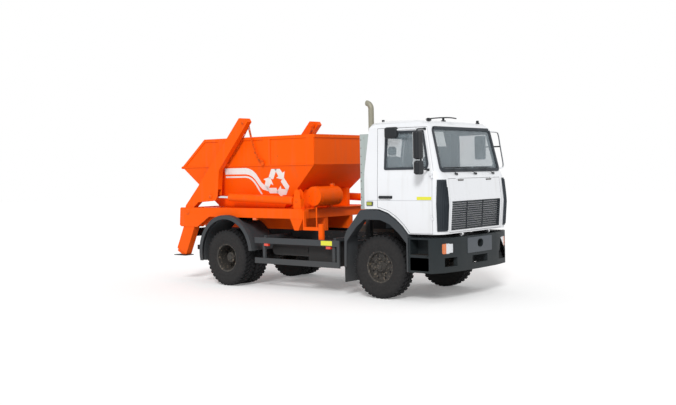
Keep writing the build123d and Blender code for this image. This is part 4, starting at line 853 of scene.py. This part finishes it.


# Cab sides: pressed line, reflector, side lamp, door handle
sideSet = {"creaseZ": 1.703, "creaseHeight": 0.008, "creaseProud": 0.0028}
for side, s in sides:
    for node, body, x0, x1 in ((f"door_{side}", f"door_{side}", fa + 0.052, fa + 1.094),
                               ("cab_shell", "cab", fa - 0.165, fa + 0.032)):
        # The pressed line is a thin grey bead: painted shade of the crease
        bm = bmesh.new()
        sidePad(bm, node, (x0 + x1) / 2, sideSet["creaseZ"], (x1 - x0) / 2, sideSet["creaseHeight"] / 2, s,
                sideSet["creaseProud"])
        finishMesh(f"crease_{node}_{side}", bm, body, creaseShade, 0.001, 1)
    bm = bmesh.new()
    sidePad(bm, f"door_{side}", fa + 0.952, 1.739, 0.138, 0.027, s, 0.003)
    finishMesh(f"door_reflector_{side}", bm, f"door_{side}", limeStrip, 0.0015, 1)
    bm = bmesh.new()
    sidePad(bm, "cab_shell", fa - 0.112, 1.647, 0.062, 0.035, s, 0.022)
    finishMesh(f"side_lamp_base_{side}", bm, "cab", mirrorBlack, 0.008, 3)
    bm = bmesh.new()
    sidePad(bm, "cab_shell", fa - 0.112, 1.647, 0.050, 0.026, s, 0.031, -0.012)
    finishMesh(f"side_lamp_{side}", bm, "cab", greenLamp, 0.007, 3)
    bm = bmesh.new()
    hx, hz = fa + 0.205, 1.757
    y = sideSkin(f"door_{side}", hx, hz, s)
    sidePad(bm, f"door_{side}", hx, hz, 0.134, 0.024, s, 0.006)
    block(bm, (hx - 0.122, y + s * 0.002, hz - 0.014), (hx - 0.088, y + s * 0.036, hz + 0.014))
    block(bm, (hx + 0.088, y + s * 0.002, hz - 0.014), (hx + 0.120, y + s * 0.036, hz + 0.014))
    block(bm, (hx - 0.122, y + s * 0.028, hz - 0.012), (hx + 0.120, y + s * 0.046, hz + 0.012))
    rod(bm, (hx - 0.055, y, hz + 0.003), (hx - 0.055, y + s * 0.014, hz + 0.003), 0.011, 20)
    finishMesh(f"door_handle_{side}", bm, f"door_{side}", mirrorBlack, 0.004, 3)
print("cab sides made")

# Wipers: three spindles below the screen, each with an arm and a blade that lies on the seal's lower edge
wiperSet = {
    "pivots": (-0.52, 0.10, 0.70), "pivotZ": 2.132, "bladeZ": 2.236, "reach": 0.40, "bladeHalf": 0.27,
    "farthest": -0.665,
    "blade": (  # rubber, spine and bridge: x from, x to, share of the half length, z from, z to
        (0.001, 0.007, 1, -0.006, 0.012), (0.006, 0.013, 0.8, -0.004, 0.006),
        (0.011, 0.020, 0.4, -0.004, 0.007)),
}
for i, y in enumerate(wiperSet["pivots"]):
    z = wiperSet["pivotZ"]
    x = frontSkin(y, z)
    bladeY, bladeZ = max(wiperSet["farthest"], y - wiperSet["reach"]), wiperSet["bladeZ"]
    bladeX = frontSkin(max(-0.9, bladeY), 2.150) + 0.012
    bm = bmesh.new()
    rod(bm, (x - 0.004, y, z), (x + 0.020, y, z + 0.004), 0.017, 20)
    rod(bm, (x + 0.018, y, z + 0.004), (x + 0.030, y, z + 0.006), 0.011, 16)
    block(bm, (x + 0.014, y - 0.075, z - 0.008), (x + 0.030, y + 0.015, z + 0.014),
          Matrix.Rotation(-0.20, 3, "X"))
    rod(bm, (x + 0.024, y - 0.05, z + 0.012), (bladeX + 0.022, bladeY, bladeZ + 0.004), 0.0052, 8)
    half = wiperSet["bladeHalf"]
    for x0, x1, reach, z0, z1 in wiperSet["blade"]:
        block(bm, (bladeX + x0, bladeY - half * reach, bladeZ + z0),
              (bladeX + x1, bladeY + half * reach, bladeZ + z1))
    block(bm, (bladeX + 0.013, bladeY - 0.02, bladeZ - 0.008),
          (bladeX + 0.026, bladeY + 0.02, bladeZ + 0.010))
    finishMesh(f"wiper_{i}", bm, "cab", mirrorBlack, 0.002, 2)

# Lid hinges
for s in (-1, 1):
    bm = bmesh.new()
    x = castOn("front_lid", (fa + 3, s * 0.46, 2.030), (-1, 0, 0))[0].x
    block(bm, (x - 0.002, s * 0.46 - 0.085, 2.018), (x + 0.008, s * 0.46 + 0.085, 2.034))
    rod(bm, (x + 0.006, s * 0.46 - 0.085, 2.034), (x + 0.006, s * 0.46 + 0.085, 2.034), 0.006, 12)
    finishMesh(f"lid_hinge_{'left' if s > 0 else 'right'}", bm, "front_lid", boltSteel, 0.002, 2)
print("front fittings made")

# Roof: marker lamps and an aerial bar on two feet
roofSet = {"lamps": ((-0.06, -0.86), (0.84, -0.80), (0.84, 0.80))}


def roofZ(x, y):
    return castOn("cab_shell", (x, y, 4), (0, 0, -1))[0].z


for i, (dx, y) in enumerate(roofSet["lamps"]):
    x = fa + dx
    z = roofZ(x, y)
    bm = bmesh.new()
    block(bm, (x - 0.030, y - 0.022, z - 0.008), (x + 0.030, y + 0.022, z + 0.022))
    block(bm, (x - 0.024, y - 0.017, z + 0.018), (x + 0.020, y + 0.017, z + 0.058))
    finishMesh(f"roof_lamp_{i}", bm, "cab", mirrorBlack, 0.007, 3)
barZ = roofZ(fa + 0.4, 0) + 0.052
bm = bmesh.new()
for dx in (0.345, 0.62):
    z = roofZ(fa + dx, 0)
    block(bm, (fa + dx - 0.035, -0.03, z - 0.004), (fa + dx + 0.035, 0.03, z + 0.014))
    block(bm, (fa + dx - 0.018, -0.014, z + 0.010), (fa + dx + 0.018, 0.014, barZ + 0.004))
finishMesh("roof_bar_feet", bm, "cab", mirrorBlack, 0.004, 3)
barLine = [(0.255, 0.002), (0.40, 0.012), (0.62, 0.012), (0.80, 0.001), (0.888, -0.020)]
bentBar("roof_bar", [(fa + dx, 0, barZ + dz) for dx, dz in barLine], 0.011, "cab", mirrorBlack)
print("roof made")

# Mirrors: rounded housings with glass behind, on tube frames
mirrorSet = {"bar": 0.0135, "reach": {"left": 1.413, "right": 1.283}}


def mirrorHousing(name, low, high, body, glassSide, radius):
    bm = bmesh.new()
    block(bm, low, high)
    finishMesh(name, bm, body, mirrorBlack, radius, 6)
    bm = bmesh.new()
    x = low[0] if glassSide < 0 else high[0]
    block(bm, (x - 0.004, low[1] + 0.018, low[2] + 0.024), (x + 0.002, high[1] - 0.018, high[2] - 0.024))
    finishMesh(f"{name}_glass", bm, body, mirrorGlass, 0.002, 2)


for side, s in sides:
    body = f"door_{side}"
    lowEnd = castOn(body, (fa + 1.027, 2.5 * s, 2.200), (0, -s, 0))[0].y
    highEnd = sideSkin(body, fa + 0.912, 2.896, s)
    reach = mirrorSet["reach"][side]
    bentBar(f"mirror_frame_{side}", [(fa + 1.015, lowEnd - s * 0.004, 2.21),
                                     (fa + 1.020, s * (reach - 0.08), 2.215),
                                     (fa + 1.024, s * (reach - 0.005), 2.25), (fa + 0.985, s * reach, 2.45),
                                     (fa + 0.945, s * reach, 2.68), (fa + 0.917, s * (reach - 0.005), 2.872),
                                     (fa + 0.912, s * (reach - 0.08), 2.893),
                                     (fa + 0.912, highEnd - s * 0.004, 2.893)],
            mirrorSet["bar"], body, cabWhite if s > 0 else mirrorBlack)
    bm = bmesh.new()
    for x, y, z in ((fa + 1.015, lowEnd, 2.21), (fa + 0.912, highEnd, 2.893)):
        block(bm, (x - 0.030, y - 0.003, z - 0.022), (x + 0.030, y + 0.010, z + 0.022))
    finishMesh(f"mirror_feet_{side}", bm, body, mirrorBlack, 0.004, 2)
mirrorHousing("mirror_main_right", (fa + 0.935, -1.425, 2.385), (fa + 1.035, -1.235, 2.855), "door_right", -1,
              0.042)
mirrorHousing("mirror_wide_right", (fa + 0.942, -1.425, 2.135), (fa + 1.038, -1.235, 2.365), "door_right", -1,
              0.040)
mirrorHousing("mirror_main_left", (fa + 0.435, 1.345, 2.385), (fa + 0.655, 1.415, 2.835), "door_left", -1,
              0.028)
bentBar("mirror_link_left", [(fa + 0.64, 1.40, 2.62), (fa + 0.80, 1.413, 2.62), (fa + 0.955, 1.413, 2.62)],
        0.0135, "door_left", mirrorBlack)
bentBar("kerb_mirror_arm", [(fa + 0.912, -1.28, 2.889), (fa + 0.75, -1.28, 2.893), (fa + 0.60, -1.28, 2.889),
                            (fa + 0.50, -1.28, 2.885)], 0.016, "door_right", cabWhite)
mirrorHousing("kerb_mirror", (fa + 0.285, -1.325, 2.748), (fa + 0.540, -1.235, 2.938), "door_right", -1,
              0.040)
for side, s in sides:
    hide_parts(f"mirrors_{side}")
print("mirrors made")

# Skip markings: two white bands that sweep down into a plain figure of three folded arrows
decalSet = {
    "wideTop": [(-4.02, 2.310), (-3.43, 2.310), (-3.33, 2.296), (-3.24, 2.258), (-3.165, 2.200),
                (-3.105, 2.115), (-3.043, 2.020), (-2.965, 1.960), (-2.870, 1.930)],
    "wideLow": [(-4.02, 2.186), (-3.45, 2.186), (-3.35, 2.172), (-3.27, 2.136), (-3.205, 2.080),
                (-3.150, 2.010), (-3.105, 1.945), (-3.040, 1.885), (-2.870, 1.842)],
    "slimTop": [(-4.02, 2.150), (-3.45, 2.150), (-3.36, 2.138), (-3.29, 2.106), (-3.225, 2.052),
                (-3.170, 1.980), (-3.125, 1.905), (-3.060, 1.790)],
    "slimLow": [(-4.02, 2.118), (-3.46, 2.118), (-3.38, 2.106), (-3.32, 2.078), (-3.260, 2.028),
                (-3.205, 1.955), (-3.165, 1.880), (-3.100, 1.790)],
    "centre": (-2.64, 2.010),
    "unit": 0.268,
    "arrow": [[(-0.66, 0.36), (-0.30, 1.00), (0.16, 1.00), (-0.26, 0.26)],
              [(-0.02, 1.00), (0.42, 1.00), (0.60, 0.72), (0.80, 0.82), (0.62, 0.22), (0.02, 0.36),
               (0.22, 0.48)]],
    "proud": 0.0012,
}


def skipDecal(bm, points, s):
    corners = []
    for x, z in points:
        corners.append((x, sideSkin("skip", x, z, s) - s * 0.001, z))
    plate(bm, corners, (0, s * (decalSet["proud"] + 0.001), 0))


for side, s in sides:
    bm = bmesh.new()
    for top, low in (("wideTop", "wideLow"), ("slimTop", "slimLow")):
        rows = []
        for line in (decalSet[top], decalSet[low]):
            skin = [(fa + x, sideSkin("skip", fa + x, z, s) - s * 0.001, z) for x, z in line]
            rows.append([bm.verts.new(spot) for spot in skin])
        strip = [bm.faces.new((rows[0][i], rows[0][i + 1], rows[1][i + 1], rows[1][i]))
                 for i in range(len(rows[0]) - 1)]
        thicken(bm, strip, (0, s * (decalSet["proud"] + 0.001), 0))
    finishMesh(f"skip_bands_{side}", bm, "skip", decalWhite)
    bm = bmesh.new()
    cx, cz = decalSet["centre"]
    for turn in range(3):
        a = math.tau * turn / 3
        for part in decalSet["arrow"]:
            ring = []
            for u, w in part:
                x = u * math.cos(a) + w * math.sin(a)
                z = w * math.cos(a) - u * math.sin(a)
                ring.append((fa + cx + x * decalSet["unit"] * 1.15, cz + z * decalSet["unit"]))
            skipDecal(bm, ring, s)
    finishMesh(f"skip_arrows_{side}", bm, "skip", decalWhite)
print("markings made")

# Front corner intakes: upright louvres laid on the curved panels
intakeSet = {"columns": 9, "low": 1.215, "high": 2.020, "from": 14, "to": 62}
for side, s in sides:
    low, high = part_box("intake_panels")
    bm = bmesh.new()
    heart = Vector((fa + 1.02, s * 0.86, 0))
    levels = [intakeSet["low"] + (intakeSet["high"] - intakeSet["low"]) * i / 8 for i in range(9)]
    for column in range(intakeSet["columns"]):
        share = column / (intakeSet["columns"] - 1)
        a = math.radians(intakeSet["from"] + (intakeSet["to"] - intakeSet["from"]) * share)
        away = Vector((math.cos(a), s * math.sin(a), 0))
        across = Vector((-away.y, away.x, 0)) * 0.0055
        previous = None
        for z in levels:
            spot = castOn("intake_panels", heart + away * 1.5 + Vector((0, 0, z)), -away, False)[0]
            if spot is None or (spot - heart - Vector((0, 0, z))).length < 0.15:
                break
            ring = [bm.verts.new(spot + across - away * 0.003), bm.verts.new(spot - across - away * 0.003),
                    bm.verts.new(spot - across * 0.6 + away * 0.011),
                    bm.verts.new(spot + across * 0.6 + away * 0.011)]
            if previous:
                for i in range(4):
                    bm.faces.new((previous[i], previous[(i + 1) % 4], ring[(i + 1) % 4], ring[i]))
            else:
                bm.faces.new(ring)
            previous = ring
        if previous:
            bm.faces.new(previous[::-1])
    finishMesh(f"intake_louvres_{side}", bm, "cab", trimGrey)
print("intakes made")

# Bumper: blank panel round the tow socket, and lamp surrounds
bumperSet = {"panelHalf": 0.40, "lampLow": (0.772, 0.818), "lampHigh": (1.043, 0.988), "rim": 0.011}


def bumperX(y, z):
    return castOn("bumper", (fa + 3, y, z), (-1, 0, 0))[0].x


bm = bmesh.new()
turns = [math.tau * i / 24 for i in range(24)]
outer = [(math.copysign(min(abs(0.55 * math.cos(a)), bumperSet["panelHalf"]), math.cos(a)),
          0.921 + math.copysign(min(abs(0.25 * math.sin(a)), 0.131), math.sin(a))) for a in turns]
outerRing = [bm.verts.new((bumperX(y, z) - 0.003, y, z)) for y, z in outer]
inner = [(0.010 + 0.098 * math.cos(a), 0.940 + 0.074 * math.sin(a)) for a in turns]
innerRing = [bm.verts.new((bumperX(0.3, z) - 0.003, y, z)) for y, z in inner]
for i in range(24):
    bm.faces.new((outerRing[i], outerRing[(i + 1) % 24], innerRing[(i + 1) % 24], innerRing[i]))
thicken(bm, bm.faces[:], (0.011, 0, 0))
finishMesh("bumper_panel", bm, "chassis", plateGrey, 0.003, 2)
for side, s in sides:
    bm = bmesh.new()
    (y0, z0), (y1, z1) = bumperSet["lampLow"], bumperSet["lampHigh"]
    inX, outX = (castOn("lamps", (fa + 3, s * y, 0.90), (-1, 0, 0))[0].x - 0.004
                 for y in (y0 + 0.004, y1 - 0.004))
    rim = bumperSet["rim"]
    for z in (z0, z1 - rim):
        ends = [(inX, s * y0, z), (outX, s * y1, z), (outX, s * y1, z + rim), (inX, s * y0, z + rim)]
        plate(bm, ends, (0.010, 0, 0))
    for x, y in ((inX, y0), (outX, y1 - rim)):
        block(bm, (x, min(s * y, s * (y + rim)), z0), (x + 0.010, max(s * y, s * (y + rim)), z1))
    finishMesh(f"lamp_surround_{side}", bm, "chassis", mirrorBlack, 0.002, 2)
print("bumper fittings made")

# Steps: tread bars in both openings
for side, s in sides:
    bm = bmesh.new()
    for z in (0.5452, 0.8002):
        y = s * 1.19
        for i in range(9):
            x = fa + 0.725 + i * 0.038
            block(bm, (x, min(s * 0.975, s * 1.192), z - 0.001),
                  (x + 0.012, max(s * 0.975, s * 1.192), z + 0.006))
    finishMesh(f"step_treads_{side}", bm, "chassis", boltSteel, 0.0015, 1)
print("steps made")

# Frame side: reflectors on the guards, and side markers
markSet = [  # x, low z, high z, half length, material
    (-1.125, 0.885, 0.968, 0.130, limeStrip),
    (-1.085, 0.822, 0.868, 0.052, redStrip),
    (-2.620, 0.822, 0.868, 0.052, redStrip),
]
for side, s in sides:
    for i, (x, low, high, half, material) in enumerate(markSet):
        bm = bmesh.new()
        if low > 0.87:
            block(bm, (fa + x - half, s * 1.199, low), (fa + x + half, s * 1.203, high))
        else:
            block(bm, (fa + x - half, s * 1.150, low), (fa + x + half, s * 1.204, high))
            block(bm, (fa + x - half * 0.4, s * 1.170, high - 0.004), (fa + x + half * 0.4, s * 1.190, 0.872))
        finishMesh(f"guard_marker_{i}_{side}", bm, "chassis", material, 0.002, 2)
    bm = bmesh.new()
    block(bm, (ra + 0.66, s * 1.06, 1.300), (ra + 0.76, s * 1.13, 1.347))
    finishMesh(f"side_marker_{side}", bm, "chassis", amberLamp, 0.006, 3)
print("markers made")

# Exhaust shield: rows of round-headed bolts, and a near-black disc in the stack's mouth: painted shade of the
# pipe's inside
bm = bmesh.new()
shieldX = (fa - 0.56, fa - 0.34)
for z in [1.60 + 0.145 * i for i in range(9)]:
    for x in (shieldX[0] + 0.022, shieldX[1] - 0.022):
        rod(bm, (x, -0.899, z), (x, -0.9075, z), 0.0095, 10, 0.005)
finishMesh("shield_bolts", bm, "chassis", boltSteel, 0.001, 1)
bend = Vector((fa - 0.41 - 0.11, -0.75, 3.31))
angle = math.radians(82)
mouth = bend + Vector((0.11 * math.cos(angle), 0, 0.11 * math.sin(angle)))
out = Vector((-math.sin(angle), 0, math.cos(angle)))
bm = bmesh.new()
rod(bm, mouth - out * 0.003, mouth + out * 0.0012, 0.0445, 28)
finishMesh("exhaust_mouth_shade", bm, "chassis", gapShade)
print("exhaust dressed")

# Cab inside: padded seats, and a steering wheel on its column
seatSet = {
    "inner": 0.352, "outer": 0.848, "bulge": 0.020, "cuts": 6, "levels": 1,
    "pads": (  # side outline in x and z, and how far in from the seat's sides
        ([(-0.088, 1.782), (0.424, 1.800), (0.418, 1.895), (-0.088, 1.875)], 0.004),
        ([(-0.096, 1.868), (0.044, 1.876), (-0.014, 2.455), (-0.110, 2.462)], 0.020),
        ([(-0.106, 2.470), (-0.032, 2.470), (-0.036, 2.632), (-0.104, 2.632)], 0.132),
    ),
}


def pad(bm, outline, near, far, s):
    first = len(bm.verts)
    ends = [[bm.verts.new((fa + x, y, z)) for x, z in outline] for y in (near, far)]
    faces = [bm.faces.new(ends[0]), bm.faces.new(ends[1][::-1])]
    for i in range(4):
        j = (i + 1) % 4
        faces.append(bm.faces.new((ends[0][i], ends[1][i], ends[1][j], ends[0][j])))
    bmesh.ops.recalc_face_normals(bm, faces=faces)
    edges = list(dict.fromkeys(e for f in faces for e in f.edges))
    bmesh.ops.subdivide_edges(bm, edges=edges, cuts=s["cuts"], use_grid_fill=True)
    bm.verts.ensure_lookup_table()
    verts = bm.verts[first:]
    heart = sum((v.co for v in verts), Vector()) / len(verts)
    half = Vector([max(abs(v.co[i] - heart[i]) for v in verts) for i in range(3)])
    for v in verts:
        share = [(v.co[i] - heart[i]) / half[i] for i in range(3)]
        for i in range(3):  # each axis draws in towards the pad's rim
            rim = max(abs(share[j]) ** 4 for j in range(3) if j != i)
            v.co[i] -= share[i] * s["bulge"] * rim


for side, s in sides:
    bm = bmesh.new()
    for outline, inset in seatSet["pads"]:
        near, far = sorted((s * (seatSet["inner"] + inset), s * (seatSet["outer"] - inset)))
        pad(bm, outline, near, far, seatSet)
    seat = finishMesh(f"seat_{side}", bm, "cab", clothGrey)
    rounded = seat.modifiers.new("rounded", "SUBSURF")
    rounded.levels = rounded.render_levels = seatSet["levels"]
    bm = bmesh.new()
    block(bm, (fa - 0.098, min(s * 0.412, s * 0.788), 1.20), (fa + 0.058, max(s * 0.412, s * 0.788), 1.79))
    for y in (0.50, 0.70):
        rod(bm, (fa - 0.068, s * y, 2.445), (fa - 0.068, s * y, 2.480), 0.007, 12)
    base = finishMesh(f"seat_base_{side}", bm, "cab", trimGrey, 0.012, 3)
    if s > 0:
        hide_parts("seats")

wheelRing = {"centre": (0.690, 0.600, 2.035), "axis": (-0.52, 0, 0.85), "ring": 0.220, "tube": 0.0145,
             "steps": 48}
bm = bmesh.new()
heart = Vector((fa + wheelRing["centre"][0], *wheelRing["centre"][1:]))
axis = Vector(wheelRing["axis"]).normalized()
out = axis.orthogonal().normalized()
ring, tube = wheelRing["ring"], wheelRing["tube"]
loop = []
for i in range(12):
    a = math.tau * i / 12
    loop.append(bm.verts.new(heart + out * (ring + tube * math.cos(a)) + axis * tube * math.sin(a)))
rim = loop + [bm.edges.new((loop[i], loop[(i + 1) % 12])) for i in range(12)]
bmesh.ops.spin(bm, geom=rim, cent=heart, axis=axis, angle=math.tau, steps=wheelRing["steps"], use_merge=True)
rod(bm, heart - axis * 0.055, heart - axis * 0.012, 0.062, 24, 0.048)
rod(bm, heart - axis * 0.300, heart - axis * 0.050, 0.026, 20)
for turn in (0.0, 2.2, 4.083):
    spoke = Matrix.Rotation(turn, 3, axis) @ out
    rod(bm, heart - axis * 0.028, heart + spoke * ring, 0.011, 10)
finishMesh("steering_wheel", bm, "cab", mirrorBlack, 0.0, 2)
print("cab inside made")

# A blank card behind the screen
cardSet = {"from": (-0.885, 2.600), "to": (-0.560, 2.850), "gap": 0.012}
bm = bmesh.new()
(y0, z0), (y1, z1) = cardSet["from"], cardSet["to"]
spots = [castOn("cab_glass", (fa + 3, y, z), (-1, 0, 0))[0] - Vector((cardSet["gap"] + 0.006, 0, 0))
         for y, z in ((y0, z0), (y1, z0), (y1, z1), (y0, z1))]
plate(bm, spots, (-0.0015, 0, 0))
finishMesh("blank_card", bm, "cab", blankWhite)

# Near-black sheets that hang between the engine and the front tyres, clear of their lock: painted shade of
# the gap there
shadeSheetSet = {
    "y": 0.560, "thick": 0.004,
    "outline": [(-0.62, 1.165), (-0.72, 1.40), (-0.42, 1.455), (-0.20, 1.30), (-0.08, 1.165)],
}
for side, s in sides:
    bm = bmesh.new()
    plate(bm, [(fa + x, s * shadeSheetSet["y"], z) for x, z in shadeSheetSet["outline"]],
          (0, s * shadeSheetSet["thick"], 0))
    for x, z in ((-0.58, 1.22), (-0.62, 1.36), (-0.42, 1.40), (-0.18, 1.22)):
        rod(bm, (fa + x, s * shadeSheetSet["y"], z), (fa + x, s * (shadeSheetSet["y"] + 0.011), z), 0.012, 10, 0.009)
    finishMesh(f"shade_sheet_{side}", bm, "chassis", gapShade, 0.001, 1)

# Pins: caps, washers and grease nipples where arms and rams turn
pinSet = [  # body, x, z, outer y, radius
    ("chassis", ra - 1.2, 1.435, 1.135, 0.062), ("chassis", ra + 1.78, 1.675, 1.095, 0.040),
    ("arms", ra - 0.52, 1.75, 1.124, 0.036), ("arms", ra + 0.43, 3.19, 1.126, 0.030),
]
for side, s in sides:
    for i, (body, x, z, y, radius) in enumerate(pinSet):
        bm = bmesh.new()
        profile = [(0.001, y - 0.002), (radius, y - 0.002), (radius, y + 0.005), (radius * 0.72, y + 0.009),
                   (radius * 0.68, y + 0.013), (radius * 0.22, y + 0.014), (0.001, y + 0.014)]
        spun(bm, x, z, [(r, s * d) for r, d in profile], 28)
        rod(bm, (x, s * (y + 0.012), z), (x, s * (y + 0.028), z), 0.006, 10, 0.004)
        finishMesh(f"pin_cap_{i}_{side}", bm, body, orangeWorn, 0.001, 1)

# Oil tank: bands, end bolts and a filler cap
tankX, tankZ = fa - 1.71, 1.756
bm = bmesh.new()
for y in (-0.76, -0.29):
    spun(bm, tankX, tankZ, [(0.1795, y - 0.022), (0.1835, y - 0.022), (0.1835, y + 0.022),
                            (0.1795, y + 0.022)], 64)
spun(bm, tankX, tankZ, [(0.001, -0.846), (0.150, -0.846), (0.158, -0.8515), (0.001, -0.8515)], 48)
finishMesh("tank_bands", bm, "chassis", orangePaint, 0.001, 1)
bm = bmesh.new()
rod(bm, (tankX + 0.02, -0.33, tankZ + 0.200), (tankX + 0.02, -0.33, tankZ + 0.226), 0.052, 24, 0.046)
rod(bm, (tankX + 0.02, -0.33, tankZ + 0.224), (tankX + 0.02, -0.33, tankZ + 0.236), 0.016, 6)
for i in range(6):
    a = math.tau * i / 6
    rod(bm, (tankX + 0.10 * math.cos(a), -0.849, tankZ + 0.10 * math.sin(a)),
        (tankX + 0.10 * math.cos(a), -0.857, tankZ + 0.10 * math.sin(a)), 0.009, 6)
finishMesh("tank_cap", bm, "chassis", orangeWorn, 0.001, 1)
print("pins and tank made")


low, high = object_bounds()
